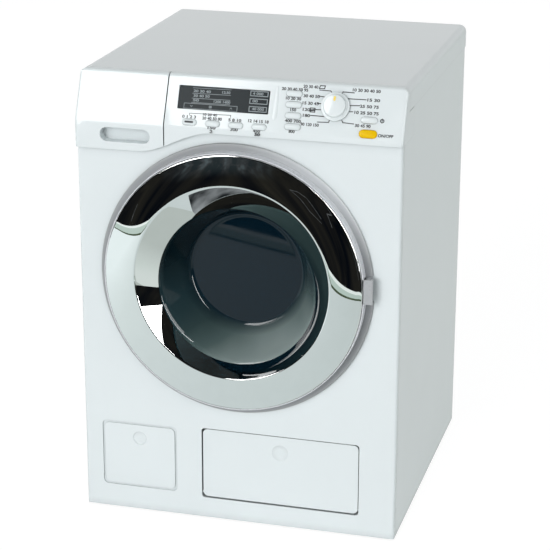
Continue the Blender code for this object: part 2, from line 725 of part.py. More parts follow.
def screw_block(across, height, finish):
    half = SCREW_BLOCK_WIDTH / 2
    wall_side = math.copysign(WALL / 2, across)
    reach = math.copysign(half, across)
    left, right = sorted((across - reach, across + reach + wall_side))
    back = y_at(COVER_DEPTH - GAP)
    return box("screw_block", (left, back - SCREW_BLOCK_LENGTH, z_at(height - half)),
               (right, back, z_at(height + half)), finish)


def screw_hole(across, height, length, finish):
    outline = circle(SCREW_RADIUS + GAP, SCREW_SIDES, across, z_at(height))
    return prism("screw_hole", outline, "Y", y_at(COVER_DEPTH - length), y_at(BODY_DEPTH + OVERRUN), finish)


def sunk_hole(across, height, face_depth, finish):
    """A screw hole through a cover, with a wide mouth for the head below the face at face_depth."""
    narrow = SCREW_RADIUS + GAP
    wide = SCREW_HEAD_RADIUS + SCREW_SINK_SPACE
    seat = y_at(face_depth - SCREW_SINK)
    rows = [(narrow, y_at(COVER_DEPTH - OVERRUN)), (narrow, seat),
            (wide, seat), (wide, y_at(face_depth + OVERRUN))]
    return turned("sunk_hole", rows, finish, SCREW_SIDES, False, across, z_at(height))


def foot_places():
    across = HALF_WIDTH - FOOT_FROM_SIDE
    return [(sign * across, y_at(depth)) for depth in (FOOT_FROM_END, BODY_DEPTH - FOOT_FROM_END)
            for sign in (-1, 1)]


def casing_outline(inset):
    """The cross-section of the casing's top, seen from the front, from the skirt's lower edge up."""
    side = OUTER_X - inset
    top = z_at(BODY_HEIGHT - inset)
    radius = TOP_EDGE - inset
    low = z_at(SEAM_LOW_HEIGHT - OVERRUN)
    right = arc((side - radius, top - radius), radius, 0.0, math.pi / 2, CORNER_STEPS)
    left = arc((radius - side, top - radius), radius, math.pi / 2, math.pi, CORNER_STEPS)
    return [(side, low)] + right + left + [(-side, low)]


def add_top_cover(finish):
    front = y_at(FASCIA_TOP_DEPTH + GAP)
    cover = prism("top_cover", casing_outline(0.0), "Y", front, y_at(BODY_DEPTH), finish)
    inner = prism("top_inner", casing_outline(WALL), "Y", front - OVERRUN, y_at(BODY_DEPTH - WALL), finish)
    edge = OUTER_X + OVERRUN
    below = box("below_skirt", (-edge, front - OVERRUN, z_at(SEAM_LOW_HEIGHT - OVERRUN - OVERRUN)),
                (edge, y_at(BODY_DEPTH + OVERRUN), z_at(SKIRT_HEIGHT)), finish)
    return cut(cover, inner, below)


def wedge_top_arc(inset):
    """The round top edge of the fascia, as y and z points from the slanted face to the flat top."""
    rise = BODY_HEIGHT - FASCIA_EDGE - CREASE_HEIGHT + FASCIA_EDGE * math.sin(SLANT_TURN)
    up = rise / math.cos(SLANT_TURN)
    centre = slant_point(up, FASCIA_EDGE)
    return arc(centre, FASCIA_EDGE - inset, math.pi - SLANT_TURN, math.pi / 2, CORNER_STEPS)


def wedge_face(low, inset):
    """The fascia's face from the side, moved inwards by inset: lower front, crease and top edge."""
    front = y_at(inset - FASCIA_PROUD)
    crease = z_at(CREASE_HEIGHT - inset * math.tan(SLANT_TURN / 2))
    return [(front, low), (front, crease)] + wedge_top_arc(inset)


def wedge_outline(low, inset):
    """The fascia's outer shape from the side, with the cheek behind it."""
    seam = y_at(FASCIA_TOP_DEPTH)
    cheek = y_at(CHEEK_DEPTH)
    step = z_at(SKIRT_HEIGHT - GAP)
    back = [(seam, z_at(BODY_HEIGHT - inset)), (seam, step), (cheek, step), (cheek, low)]
    return wedge_face(low, inset) + back


def wedge_hollow(low):
    """The space inside the fascia from the side, open at the back and below."""
    back = y_at(CHEEK_DEPTH + OVERRUN)
    return (wedge_face(low - OVERRUN, FASCIA_WALL)
            + [(back, z_at(BODY_HEIGHT - FASCIA_WALL)), (back, low - OVERRUN)])


def wedge_stations(left, right):
    """Places along the fascia and how far its face is drawn in there, round at the casing's sides."""
    turns = [math.pi / 2 * step / END_STEPS for step in range(END_STEPS + 1)]
    bends = [(FASCIA_END * (1 - math.sin(turn)), FASCIA_END * (1 - math.cos(turn))) for turn in turns]
    if left == -OUTER_X:
        return [(left + back, inset) for back, inset in reversed(bends)] + [(right, 0.0)]
    return [(left, 0.0)] + [(right - back, inset) for back, inset in bends]


def add_wedge(name, left, right, wall_left, wall_right, finish):
    """A hollow length of the fascia between two end walls, cut off below along the seam."""
    low = z_at(SEAM_LOW_HEIGHT - OVERRUN)
    loops = [[(across, along, up) for along, up in wedge_outline(low, inset)]
             for across, inset in wedge_stations(left, right)]
    wedge = loft(name, loops, finish)
    envelope = prism("envelope", casing_outline(0.0), "Y", y_at(-OVERRUN - FASCIA_PROUD),
                     y_at(CHEEK_DEPTH + OVERRUN), finish)
    trim(wedge, envelope)
    hollow = prism("hollow", wedge_hollow(low), "X", left + wall_left, right - wall_right, finish)
    edge = OUTER_X + OVERRUN
    under = seam_line(-edge, edge, 0.0) + [(edge, low - OVERRUN), (-edge, low - OVERRUN)]
    end = y_at(CHEEK_DEPTH + OVERRUN)
    below = prism("below_seam", under, "Y", y_at(-OVERRUN - FASCIA_PROUD), end, finish)
    cheek = OUTER_X - FASCIA_WALL
    inner_left = max(left - OVERRUN, -cheek)
    inner_right = min(right + OVERRUN, cheek)
    lap = (seam_line(inner_left, inner_right, PANEL_LAP + GAP)
           + [(inner_right, low - OVERRUN), (inner_left, low - OVERRUN)])
    relief = prism("lap_relief", lap, "Y", y_at(FASCIA_WALL - FASCIA_PROUD), end, finish)
    return cut(wedge, hollow, below, relief)


def add_control_fascia(finish):
    fascia = add_wedge("control_fascia", FASCIA_END_X, OUTER_X, SPLIT_WALL, FASCIA_WALL, finish)
    fuse(fascia, *[put_on_slant(post) for post in board_posts(finish)])
    holes = [display_hole(finish), shaft_hole(finish)]
    for _, across, up, width, tall in button_places():
        outline = pill(width + BUTTON_CLEARANCE * 2, tall + BUTTON_CLEARANCE * 2, across, up)
        holes.append(prism("button_hole", outline, "Y", -OVERRUN, FASCIA_WALL + OVERRUN, finish))
    return cut(fascia, *[put_on_slant(hole) for hole in holes])


def display_hole(finish):
    outline = rounded(DISPLAY_X - DISPLAY_WIDTH / 2, DISPLAY_X + DISPLAY_WIDTH / 2,
                      DISPLAY_UP - DISPLAY_HEIGHT / 2, DISPLAY_UP + DISPLAY_HEIGHT / 2, BUTTON_SHOULDER)
    return prism("display_hole", outline, "Y", -OVERRUN, FASCIA_WALL + OVERRUN, finish)


def shaft_hole(finish):
    return prism("shaft_hole", circle(KNOB_SHAFT_HOLE, FINE_SIDES, KNOB_X, KNOB_UP), "Y", -OVERRUN,
                 FASCIA_WALL + OVERRUN, finish)


def board_posts(finish):
    """Four posts inside the fascia that the circuit board is fixed to."""
    posts = []
    for across in (BOARD_LEFT_X + BOARD_POST_INSET, BOARD_RIGHT_X - BOARD_POST_INSET):
        for up in (BOARD_LOW_UP + MAT_MARGIN, BOARD_HIGH_UP - BOARD_POST_INSET):
            outline = circle(BOARD_POST_RADIUS, FINE_SIDES, across, up)
            posts.append(prism("board_post", outline, "Y", FASCIA_WALL / 2, BOARD_INWARD - GAP, finish))
    return posts


def button_places():
    """Name, x, way up the slope, width and height of each push button."""
    places = []
    for index, name in enumerate(LOWER_KEY_NAMES):
        places.append((name, LOWER_KEY_FIRST_X + index * LOWER_KEY_PITCH, LOWER_KEY_UP,
                       LOWER_KEY_WIDTH, LOWER_KEY_HEIGHT))
    for index, name in enumerate(SIDE_KEY_NAMES):
        places.append((name, SIDE_KEY_X - index * SIDE_KEY_LEAN, SIDE_KEY_FIRST_UP + index * SIDE_KEY_PITCH,
                       SIDE_KEY_WIDTH, SIDE_KEY_HEIGHT))
    places.append(("power_button", POWER_KEY_X, POWER_KEY_UP, POWER_KEY_WIDTH, POWER_KEY_HEIGHT))
    places.append(("door_button", DOOR_KEY_X, DOOR_KEY_UP, DOOR_KEY_WIDTH, DOOR_KEY_HEIGHT))
    return places


def add_button(name, across, up, width, tall, finish):
    """A pill cap with a flange behind the fascia at its two ends, and a stem that reaches the key mat."""
    flange = FASCIA_WALL + GAP
    shoulder = BUTTON_SHOULDER
    stem = BUTTON_STEM_SHARE
    sections = ((-BUTTON_PROUD, width - shoulder * 2, tall - shoulder * 2),
                (shoulder - BUTTON_PROUD, width, tall),
                (flange, width, tall),
                (flange, width + BUTTON_FLANGE_LIP * 2, tall),
                (flange + BUTTON_FLANGE, width + BUTTON_FLANGE_LIP * 2, tall),
                (flange + BUTTON_FLANGE, width * stem, tall * stem),
                (flange + BUTTON_FLANGE + BUTTON_STEM_LENGTH, width * stem, tall * stem))
    loops = [[on_axis("Y", first, second, along) for first, second in pill(wide, high, across, up)]
             for along, wide, high in sections]
    button = put_on_slant(loft(name, loops, finish))
    set_origin([button], (across, *slant_point(up, 0.0)))
    return button


def add_display_window(finish):
    half_width = DISPLAY_WIDTH / 2 - GAP
    half_height = DISPLAY_HEIGHT / 2 - GAP
    window = prism("display_window", rounded(DISPLAY_X - half_width, DISPLAY_X + half_width,
                   DISPLAY_UP - half_height, DISPLAY_UP + half_height, BUTTON_SHOULDER), "Y",
                   DISPLAY_SUNK, FASCIA_WALL + GAP + DISPLAY_FLANGE_THICKNESS, finish)
    lip = DISPLAY_FLANGE
    flange = box("display_flange",
                 (DISPLAY_X - half_width, FASCIA_WALL + GAP, DISPLAY_UP - half_height - lip),
                 (DISPLAY_X + half_width, FASCIA_WALL + GAP + DISPLAY_FLANGE_THICKNESS,
                  DISPLAY_UP + half_height + lip), finish)
    return put_on_slant(fuse(window, flange))


def add_knob(finish, shaft_finish):
    socket = hole_radius(KNOB_SHAFT_RADIUS, GAP, FINE_SIDES)
    rows = [(KNOB_SKIRT_RADIUS, -GAP), (KNOB_SKIRT_RADIUS, -KNOB_SKIRT_HEIGHT + KNOB_EDGE),
            (KNOB_SKIRT_RADIUS - KNOB_EDGE, -KNOB_SKIRT_HEIGHT),
            (KNOB_CAP_RADIUS, -KNOB_SKIRT_HEIGHT - KNOB_EDGE),
            (KNOB_CAP_RADIUS - KNOB_EDGE / 2, KNOB_EDGE - KNOB_CAP_HEIGHT),
            (KNOB_CAP_RADIUS - KNOB_EDGE - KNOB_EDGE / 2, -KNOB_CAP_HEIGHT)]
    knob = turned("program_knob", rows, finish, SHAFT_SIDES, False, KNOB_X, KNOB_UP)
    cut(knob, prism("socket", circle(socket, FINE_SIDES, KNOB_X, KNOB_UP), "Y", -KNOB_SOCKET_DEPTH,
                    OVERRUN, finish))
    shaft = prism("knob_shaft", circle(KNOB_SHAFT_RADIUS, FINE_SIDES, KNOB_X, KNOB_UP), "Y",
                  GAP - KNOB_SOCKET_DEPTH, BOARD_INWARD - SHAFT_END_SPACE, shaft_finish)
    put_on_slant(knob)
    put_on_slant(shaft)
    set_origin([knob, shaft], (KNOB_X, *slant_point(KNOB_UP, 0.0)))


def add_board(finish, mat_finish, switch_finish):
    back = BOARD_INWARD + BOARD_THICKNESS
    board = box("circuit_board", (BOARD_LEFT_X, BOARD_INWARD, BOARD_LOW_UP),
                (BOARD_RIGHT_X, back, BOARD_HIGH_UP), finish)
    mat_back = BOARD_INWARD - GAP
    mat = box("key_mat", (BOARD_LEFT_X + MAT_MARGIN, mat_back - MAT_THICKNESS, BOARD_LOW_UP),
              (BOARD_RIGHT_X - MAT_MARGIN, mat_back, BOARD_HIGH_UP), mat_finish)
    half = SWITCH_WIDTH / 2
    slack = half + SWITCH_SLACK
    space = box("switch_space", (KNOB_X - slack, 0.0, KNOB_UP - slack),
                (KNOB_X + slack, BOARD_INWARD + OVERRUN, KNOB_UP + slack + OVERRUN), mat_finish)
    cut(mat, space)
    switch = box("rotary_switch", (KNOB_X - half, FASCIA_WALL + GAP, KNOB_UP - half),
                 (KNOB_X + half, mat_back, KNOB_UP + half), switch_finish)
    bore = hole_radius(KNOB_SHAFT_RADIUS, RUNNING_FIT, FINE_SIDES)
    cut(switch, prism("switch_bore", circle(bore, FINE_SIDES, KNOB_X, KNOB_UP), "Y", 0.0,
                      BOARD_INWARD + OVERRUN, switch_finish))
    for piece in (board, mat, switch):
        put_on_slant(piece)


# Detergent drawer

def add_drawer(finish, tray_finish):
    front = add_wedge("drawer_front", -OUTER_X, DRAWER_END_X, FASCIA_WALL, SPLIT_WALL, finish)
    face = y_at(-FASCIA_PROUD)
    height = z_at(GRIP_HEIGHT)
    wall = GRIP_WALL * 2
    cup = prism("grip_cup", pill(GRIP_WIDTH + wall, GRIP_TALL + wall, GRIP_X, height), "Y",
                face + FASCIA_WALL / 2, face + GRIP_DEPTH + GRIP_WALL, finish)
    arm_top = z_at(DRAWER_ARM_TOP_HEIGHT)
    arms = [box("tray_arm", (across, face + FASCIA_WALL / 2, arm_top - DRAWER_ARM_TALL),
                (across + SPLIT_WALL, y_at(TRAY_FRONT_DEPTH - GAP), arm_top), finish)
            for across in (TRAY_LEFT_X + TRAY_WALL, TRAY_RIGHT_X - TRAY_WALL - SPLIT_WALL)]
    fuse(front, cup, *arms)
    cut(front, prism("grip", pill(GRIP_WIDTH, GRIP_TALL, GRIP_X, height), "Y", face - OVERRUN,
                     face + GRIP_DEPTH, finish))
    tray = add_tray(tray_finish)
    set_origin([front, tray], (GRIP_X, y_at(0.0), z_at(TRAY_FLOOR_HEIGHT)))


def add_tray(finish):
    """The tray with its compartments, open above."""
    front = y_at(TRAY_FRONT_DEPTH)
    tray = box("drawer_tray", (TRAY_LEFT_X, front, z_at(TRAY_FLOOR_HEIGHT)),
               (TRAY_RIGHT_X, front + TRAY_LENGTH, z_at(TRAY_TOP_HEIGHT)), finish)
    inner_left = TRAY_LEFT_X + TRAY_WALL
    width = TRAY_RIGHT_X - TRAY_LEFT_X - TRAY_WALL * 2
    edges = [0.0, *TRAY_DIVIDER_SHARES, 1.0]
    for low_share, high_share in zip(edges, edges[1:]):
        left = inner_left + width * low_share + (TRAY_WALL / 2 if low_share else 0.0)
        right = inner_left + width * high_share - (TRAY_WALL / 2 if high_share < 1.0 else 0.0)
        cut(tray, box("compartment", (left, front + TRAY_WALL, z_at(TRAY_FLOOR_HEIGHT + TRAY_WALL)),
                      (right, front + TRAY_LENGTH - TRAY_WALL, z_at(TRAY_TOP_HEIGHT + OVERRUN)), finish))
    return tray


def add_drawer_housing(finish):
    """The sleeve that the tray slides in, open in front and above."""
    space = HOUSING_CLEARANCE
    wall = HOUSING_WALL
    front = y_at(TRAY_FRONT_DEPTH) + HOUSING_FRONT_SPACE
    left = TRAY_LEFT_X - space
    right = TRAY_RIGHT_X + space
    floor = z_at(TRAY_FLOOR_HEIGHT) - space
    back = y_at(TRAY_FRONT_DEPTH) + TRAY_LENGTH + space
    top = z_at(TRAY_TOP_HEIGHT)
    housing = box("drawer_housing", (left - wall, front, floor - wall),
                  (right + wall, back + wall, top), finish)
    inside = box("housing_inside", (left, front - OVERRUN, floor), (right, back, top + OVERRUN), finish)
    return cut(housing, inside)


# Door

def add_door_frame(finish):
    """The grey outer frame: a flat annulus behind the ring, with a slanting rim round it."""
    back = y_at(-GAP)
    plate = back - FRAME_WALL
    lip = y_at(-FRAME_LIP_PROUD)
    rows = [(FRAME_RADIUS, back), (FRAME_LIP_RADIUS, lip), (FRAME_LIP_RADIUS - FRAME_WALL, lip),
            (FRAME_LIP_RADIUS - FRAME_WALL / 2, plate), (FRAME_HOLE_RADIUS, plate, -FRAME_HOLE_DROP),
            (FRAME_HOLE_RADIUS, back, -FRAME_HOLE_DROP)]
    frame = turned("door_frame", rows, finish, DOOR_SIDES, True, DOOR_X, z_at(DOOR_HEIGHT))
    half = HINGE_TALL / 2 + GAP
    notch = box("hinge_notch", (FRAME_NOTCH_X, lip - OVERRUN, z_at(HINGE_HEIGHT - half)),
                (FRAME_RADIUS + OVERRUN, back + OVERRUN, z_at(HINGE_HEIGHT + half)), finish)
    return cut(frame, notch)


def add_door_ring(finish):
    """The chrome ring: a side wall, a face that leans in and a funnel down to the window."""
    seat = y_at(-FRAME_LIP_PROUD - GAP)
    side = y_at(-RING_SIDE_PROUD)
    rim = y_at(-RING_SIDE_PROUD - RING_EDGE)
    face = y_at(-DOOR_PROUD)
    bend = RING_EDGE / 2
    end = y_at(FUNNEL_DEPTH)
    lift = RING_FACE_LIFT
    rows = [(RING_RADIUS, seat), (RING_RADIUS - bend / 2, side), (RING_RADIUS - RING_EDGE, rim),
            (RING_FACE_RADIUS + bend, face, lift), (RING_FACE_RADIUS - bend, face + bend, lift),
            (FUNNEL_RADIUS, end, -WINDOW_DROP), (FUNNEL_RADIUS + RING_WALL, end, -WINDOW_DROP),
            (RING_FACE_RADIUS + bend, face + RING_WALL + bend, lift),
            (RING_RADIUS - RING_EDGE - RING_WALL, rim + RING_WALL), (RING_RADIUS - RING_WALL, seat)]
    return turned("door_ring", rows, finish, DOOR_SIDES, True, DOOR_X, z_at(DOOR_HEIGHT))


def add_window_bowl(finish):
    rim = y_at(FUNNEL_DEPTH + GAP)
    end = y_at(WINDOW_END_DEPTH)
    thick = WINDOW_THICKNESS
    fillet = WINDOW_END_FILLET
    drop = -WINDOW_DROP
    end_drop = -WINDOW_END_DROP
    rows = [(WINDOW_END_RADIUS - fillet, end, end_drop), (WINDOW_END_RADIUS, end - fillet, end_drop),
            (WINDOW_RIM_RADIUS - thick / 2, rim + thick, drop), (WINDOW_RIM_RADIUS, rim, drop),
            (WINDOW_FLANGE_RADIUS, rim, drop), (WINDOW_FLANGE_RADIUS, rim + thick, drop),
            (WINDOW_RIM_RADIUS + thick / 2, rim + thick, drop),
            (WINDOW_END_RADIUS + thick, end - fillet / 2, end_drop),
            (WINDOW_END_RADIUS - fillet / 2, end + thick, end_drop)]
    return turned("window_bowl", rows, finish, DOOR_SIDES, False, DOOR_X, z_at(DOOR_HEIGHT))


def add_window_retainer(finish):
    """The ring behind the window that clamps its flange against the funnel."""
    front = y_at(0.0)
    inner = y_at(FUNNEL_DEPTH + GAP) + WINDOW_THICKNESS + GAP
    back = inner + RETAINER_WALL
    rows = [(RETAINER_RADIUS, front), (RETAINER_RADIUS, back), (RETAINER_HOLE_RADIUS, back),
            (RETAINER_HOLE_RADIUS, inner), (RETAINER_RADIUS - RETAINER_WALL, inner),
            (RETAINER_RADIUS - RETAINER_WALL, front)]
    return turned("window_retainer", rows, finish, DOOR_SIDES, True, DOOR_X, z_at(DOOR_HEIGHT - WINDOW_DROP))


def hinge_bore(radius, low, high, finish):
    outline = circle(hole_radius(radius, RUNNING_FIT, FINE_SIDES), FINE_SIDES, HINGE_X, y_at(-HINGE_PROUD))
    return prism("hinge_bore", outline, "Z", z_at(low), z_at(high), finish)


def add_hinge_bracket(finish, pin_finish):
    """The bracket on the front panel, with two ears, and the pin through them."""
    half = HINGE_TALL / 2
    left = HINGE_X - HINGE_BASE_LEFT
    right = HINGE_X + HINGE_BASE_RIGHT
    base_front = y_at(-GAP - HINGE_BASE_THICKNESS)
    bracket = box("hinge_bracket", (left, base_front, z_at(HINGE_HEIGHT - half)),
                  (right, y_at(-GAP), z_at(HINGE_HEIGHT + half)), finish)
    axis = y_at(-HINGE_PROUD)
    turns = arc((HINGE_X, axis), HINGE_EAR_RADIUS, math.pi, math.tau, CORNER_STEPS * 2)
    back = base_front + HINGE_BASE_THICKNESS / 2
    outline = turns + [(right, back), (HINGE_X - HINGE_EAR_RADIUS, back)]
    for low in (-half, half - HINGE_EAR_TALL):
        ear = prism("hinge_ear", outline, "Z", z_at(HINGE_HEIGHT + low),
                    z_at(HINGE_HEIGHT + low + HINGE_EAR_TALL), finish)
        fuse(bracket, ear)
    reach = half + OVERRUN
    cut(bracket, hinge_bore(HINGE_PIN_RADIUS, HINGE_HEIGHT - reach, HINGE_HEIGHT + reach, finish))
    pin = prism("hinge_pin", circle(HINGE_PIN_RADIUS, FINE_SIDES, HINGE_X, axis), "Z",
                z_at(HINGE_HEIGHT - half), z_at(HINGE_HEIGHT + half), pin_finish)
    return bracket, pin


def add_hinge_knuckle(left, inner, finish):
    """The door's knuckle, between the bracket's ears."""
    half = HINGE_TALL / 2 - HINGE_EAR_TALL - GAP
    axis = y_at(-HINGE_PROUD)
    front = inner - HINGE_COVER_WALL / 2
    outline = [(left, front), (HINGE_X + HINGE_EAR_RADIUS, front)]
    outline += arc((HINGE_X, axis), HINGE_EAR_RADIUS, 0.0, math.pi / 2, CORNER_STEPS)
    outline.append((left, axis + HINGE_EAR_RADIUS))
    return prism("hinge_knuckle", outline, "Z", z_at(HINGE_HEIGHT - half), z_at(HINGE_HEIGHT + half), finish)


def add_hinge_arm(finish):
    """The door's half of the hinge: a cover, a knuckle behind it and a tongue fixed to the frame."""
    half = HINGE_TALL / 2
    left = DOOR_X + RING_RADIUS + GAP
    right = HINGE_X + HINGE_EAR_RADIUS + HINGE_COVER_LIP
    inner = y_at(-HINGE_PROUD - HINGE_EAR_RADIUS - GAP)
    outline = rounded(left, right, inner - HINGE_COVER_WALL, inner, HINGE_COVER_WALL / 2)
    cover = prism("hinge_arm", outline, "Z", z_at(HINGE_HEIGHT - half), z_at(HINGE_HEIGHT + half), finish)
    fuse(cover, add_hinge_knuckle(left, inner, finish))
    plate = y_at(-GAP) - FRAME_WALL - GAP
    reach = HINGE_TONGUE_TALL / 2
    tongue = box("tongue", (HINGE_TONGUE_X, plate - HINGE_TONGUE_THICKNESS, z_at(HINGE_HEIGHT - reach)),
                 (left + HINGE_COVER_WALL, plate, z_at(HINGE_HEIGHT + reach)), finish)
    fuse(cover, tongue)
    return cut(cover, hinge_bore(HINGE_PIN_RADIUS, HINGE_HEIGHT - half, HINGE_HEIGHT + half, finish))


def add_door_hook(finish):
    low = z_at(DOOR_HEIGHT - HOOK_TALL / 2)
    high = z_at(DOOR_HEIGHT + HOOK_TALL / 2)
    right = HOOK_LEFT_X + HOOK_WIDTH
    end = y_at(HOOK_LENGTH)
    barb = end - HOOK_BARB_LENGTH
    outline = [(HOOK_LEFT_X, y_at(0.0)), (right, y_at(0.0)), (right, end), (HOOK_LEFT_X, end),
               (HOOK_LEFT_X - HOOK_BARB, barb), (HOOK_LEFT_X, barb)]
    return prism("door_hook", outline, "Z", low, high, finish)


def add_door_catch(finish):
    """The spring clip behind the front panel that holds the hook."""
    arm_right = HOOK_LEFT_X - HOOK_BARB - CATCH_SPACE
    arm_left = arm_right - CATCH_WALL
    base = y_at(WALL + GAP)
    left = arm_right - CATCH_BASE_WIDTH
    end = y_at(HOOK_LENGTH)
    outline = [(left, base), (arm_right, base), (arm_right, base + CATCH_WALL), (arm_right, end),
               (arm_left, end), (arm_left, base + CATCH_WALL), (left, base + CATCH_WALL)]
    low = z_at(DOOR_HEIGHT - CATCH_TALL / 2)
    return prism("door_catch", outline, "Z", low, low + CATCH_TALL, finish)


def add_door(finishes):
    pieces = [add_door_frame(finishes["grey"]), add_door_ring(finishes["chrome"]),
              add_window_bowl(finishes["smoke"]), add_window_retainer(finishes["inner"]),
              add_hinge_arm(finishes["light_grey"]), add_door_hook(finishes["inner"])]
    set_origin(pieces, (HINGE_X, y_at(-HINGE_PROUD), z_at(HINGE_HEIGHT)))
    add_hinge_bracket(finishes["light_grey"], finishes["steel"])
    add_door_catch(finishes["inner"])


# Seal, tub and drum

def add_door_seal(finish):
    """A rubber ring with one fold, from the front panel to the tub's mouth."""
    front = y_at(WALL + GAP)
    back = y_at(TUB_FRONT_DEPTH - GAP)
    wall = SEAL_WALL
    fold = (front + back) / 2
    quarter = (back - front) / 4
    neck = SEAL_NECK_RADIUS
    rows = [(SEAL_FLANGE_RADIUS, front), (SEAL_FLANGE_RADIUS, front + wall), (neck, front + wall),
            (neck - wall / 2, fold - quarter), (SEAL_FOLD_RADIUS, fold), (neck - wall / 2, fold + quarter),
            (neck - wall / 2, back), (neck - wall - wall / 2, back), (neck - wall - wall / 2, fold + quarter),
            (SEAL_FOLD_RADIUS - wall, fold), (neck - wall - wall / 2, fold - quarter), (neck - wall, front)]
    return turned("door_seal", rows, finish, DRUM_SIDES, True, 0.0, z_at(MOUTH_HEIGHT))


def add_tub(finish):
    front = y_at(TUB_FRONT_DEPTH)
    back = y_at(TUB_BACK_DEPTH)
    wall = TUB_WALL
    bore = hole_radius(SHAFT_RADIUS + RUNNING_FIT + BUSH_WALL, GAP, DRUM_SIDES)
    rows = [(TUB_MOUTH_RADIUS, front), (TUB_RADIUS, front), (TUB_RADIUS, back), (TUB_BOSS_RADIUS, back),
            (TUB_BOSS_RADIUS, back + TUB_BOSS_LENGTH), (bore, back + TUB_BOSS_LENGTH),
            (bore, back - wall), (TUB_RADIUS - wall, back - wall),
            (TUB_RADIUS - wall, front + wall), (TUB_MOUTH_RADIUS, front + wall)]
    return turned("tub", rows, finish, DRUM_SIDES, True, 0.0, z_at(MOUTH_HEIGHT))


def add_shaft_bush(finish):
    inner = hole_radius(SHAFT_RADIUS, RUNNING_FIT, SHAFT_SIDES)
    outer = SHAFT_RADIUS + RUNNING_FIT + BUSH_WALL
    front = y_at(TUB_BACK_DEPTH - TUB_WALL)
    back = y_at(TUB_BACK_DEPTH + TUB_BOSS_LENGTH)
    rows = [(outer, front), (outer, back), (inner, back), (inner, front)]
    return turned("shaft_bush", rows, finish, SHAFT_SIDES, True, 0.0, z_at(MOUTH_HEIGHT))


def add_drum(finish):
    """The drum: a can with a rolled-in mouth and lifter ribs inside."""
    front = y_at(DRUM_FRONT_DEPTH)
    back = y_at(DRUM_BACK_DEPTH)
    wall = DRUM_WALL
    bevel = DRUM_CHAMFER
    inner = DRUM_RADIUS - wall
    rows = [(inner - bevel, back - wall), (inner, back - wall - bevel), (inner, front + wall),
            (DRUM_MOUTH_RADIUS, front + wall), (DRUM_MOUTH_RADIUS, front), (DRUM_RADIUS, front),
            (DRUM_RADIUS, back - bevel), (DRUM_RADIUS - bevel, back)]
    drum = turned("drum", rows, finish, DRUM_SIDES, False, 0.0, z_at(MOUTH_HEIGHT))
    for index in range(LIFTER_COUNT):
        turn = -math.pi / 2 + index * math.tau / LIFTER_COUNT
        fuse(drum, lifter(turn, front + wall + LIFTER_END_SPACE, back - wall - LIFTER_END_SPACE, finish))
    return drum


def lifter(turn, front, back, finish):
    outer = DRUM_RADIUS - DRUM_WALL / 2
    inner = DRUM_RADIUS - DRUM_WALL - LIFTER_TALL
    corners = ((outer, -LIFTER_FOOT_WIDTH / 2), (outer, LIFTER_FOOT_WIDTH / 2),
               (inner, LIFTER_TOP_WIDTH / 2), (inner, -LIFTER_TOP_WIDTH / 2))
    outline = []
    for radius, aside in corners:
        outline.append((radius * math.cos(turn) - aside * math.sin(turn),
                        z_at(MOUTH_HEIGHT) + radius * math.sin(turn) + aside * math.cos(turn)))
    return prism("lifter", outline, "Y", front, back, finish)


def add_drum_shaft(finish):
    flange = y_at(DRUM_BACK_DEPTH) + GAP
    behind = flange + SHAFT_FLANGE_THICKNESS
    end = y_at(GEAR_DEPTH + GEAR_THICKNESS)
    rows = [(SHAFT_FLANGE_RADIUS, flange), (SHAFT_FLANGE_RADIUS, behind), (SHAFT_RADIUS, behind),
            (SHAFT_RADIUS, end)]
    return turned("drum_shaft", rows, finish, SHAFT_SIDES, False, 0.0, z_at(MOUTH_HEIGHT))


# Gear train and motor

def involute(radius, base):
    turn = math.acos(min(base / radius, 1.0))
    return math.tan(turn) - turn


def gear_outline(teeth, module, phase, across, up):
    """Teeth along the involute, with flat flanks on the large gears; a tooth points along phase."""
    pitch = teeth * module / 2
    base = pitch * math.cos(PRESSURE_TURN)
    tip = pitch + module * ADDENDUM_SHARE
    root = pitch - module * DEDENDUM_SHARE
    half_tooth = math.pi / teeth / 2 * (1 - BACKLASH_SHARE)
    radii = (root, tip) if root > base else (root, pitch, tip)
    flank = [(radius, half_tooth + involute(pitch, base) - involute(max(radius, base), base))
             for radius in radii]
    outline = []
    for tooth in range(teeth):
        middle = phase + math.tau * tooth / teeth
        sides = [(radius, middle - turn) for radius, turn in flank]
        sides += [(radius, middle + turn) for radius, turn in reversed(flank)]
        for radius, turn in sides:
            outline.append((across + radius * math.cos(turn), up + radius * math.sin(turn)))
    return outline


def gear_prism(name, teeth, module, phase, across, height, depth, finish):
    outline = gear_outline(teeth, module, phase, across, z_at(height))
    return prism(name, outline, "Y", y_at(depth), y_at(depth + GEAR_THICKNESS), finish)


def axle_bore(radius, clearance, across, height, finish):
    outline = circle(hole_radius(radius, clearance, FINE_SIDES), FINE_SIDES, across, z_at(height))
    return prism("axle_bore", outline, "Y", y_at(TUB_BACK_DEPTH), y_at(BODY_DEPTH), finish)


def add_drum_gear(finish):
    gear = gear_prism("drum_gear", DRUM_GEAR_TEETH, FIRST_MODULE, GEAR_AXIS_TURN, 0.0, MOUTH_HEIGHT,
                      GEAR_DEPTH, finish)
    return cut(gear, axle_bore(SHAFT_RADIUS, GAP, 0.0, MOUTH_HEIGHT, finish))


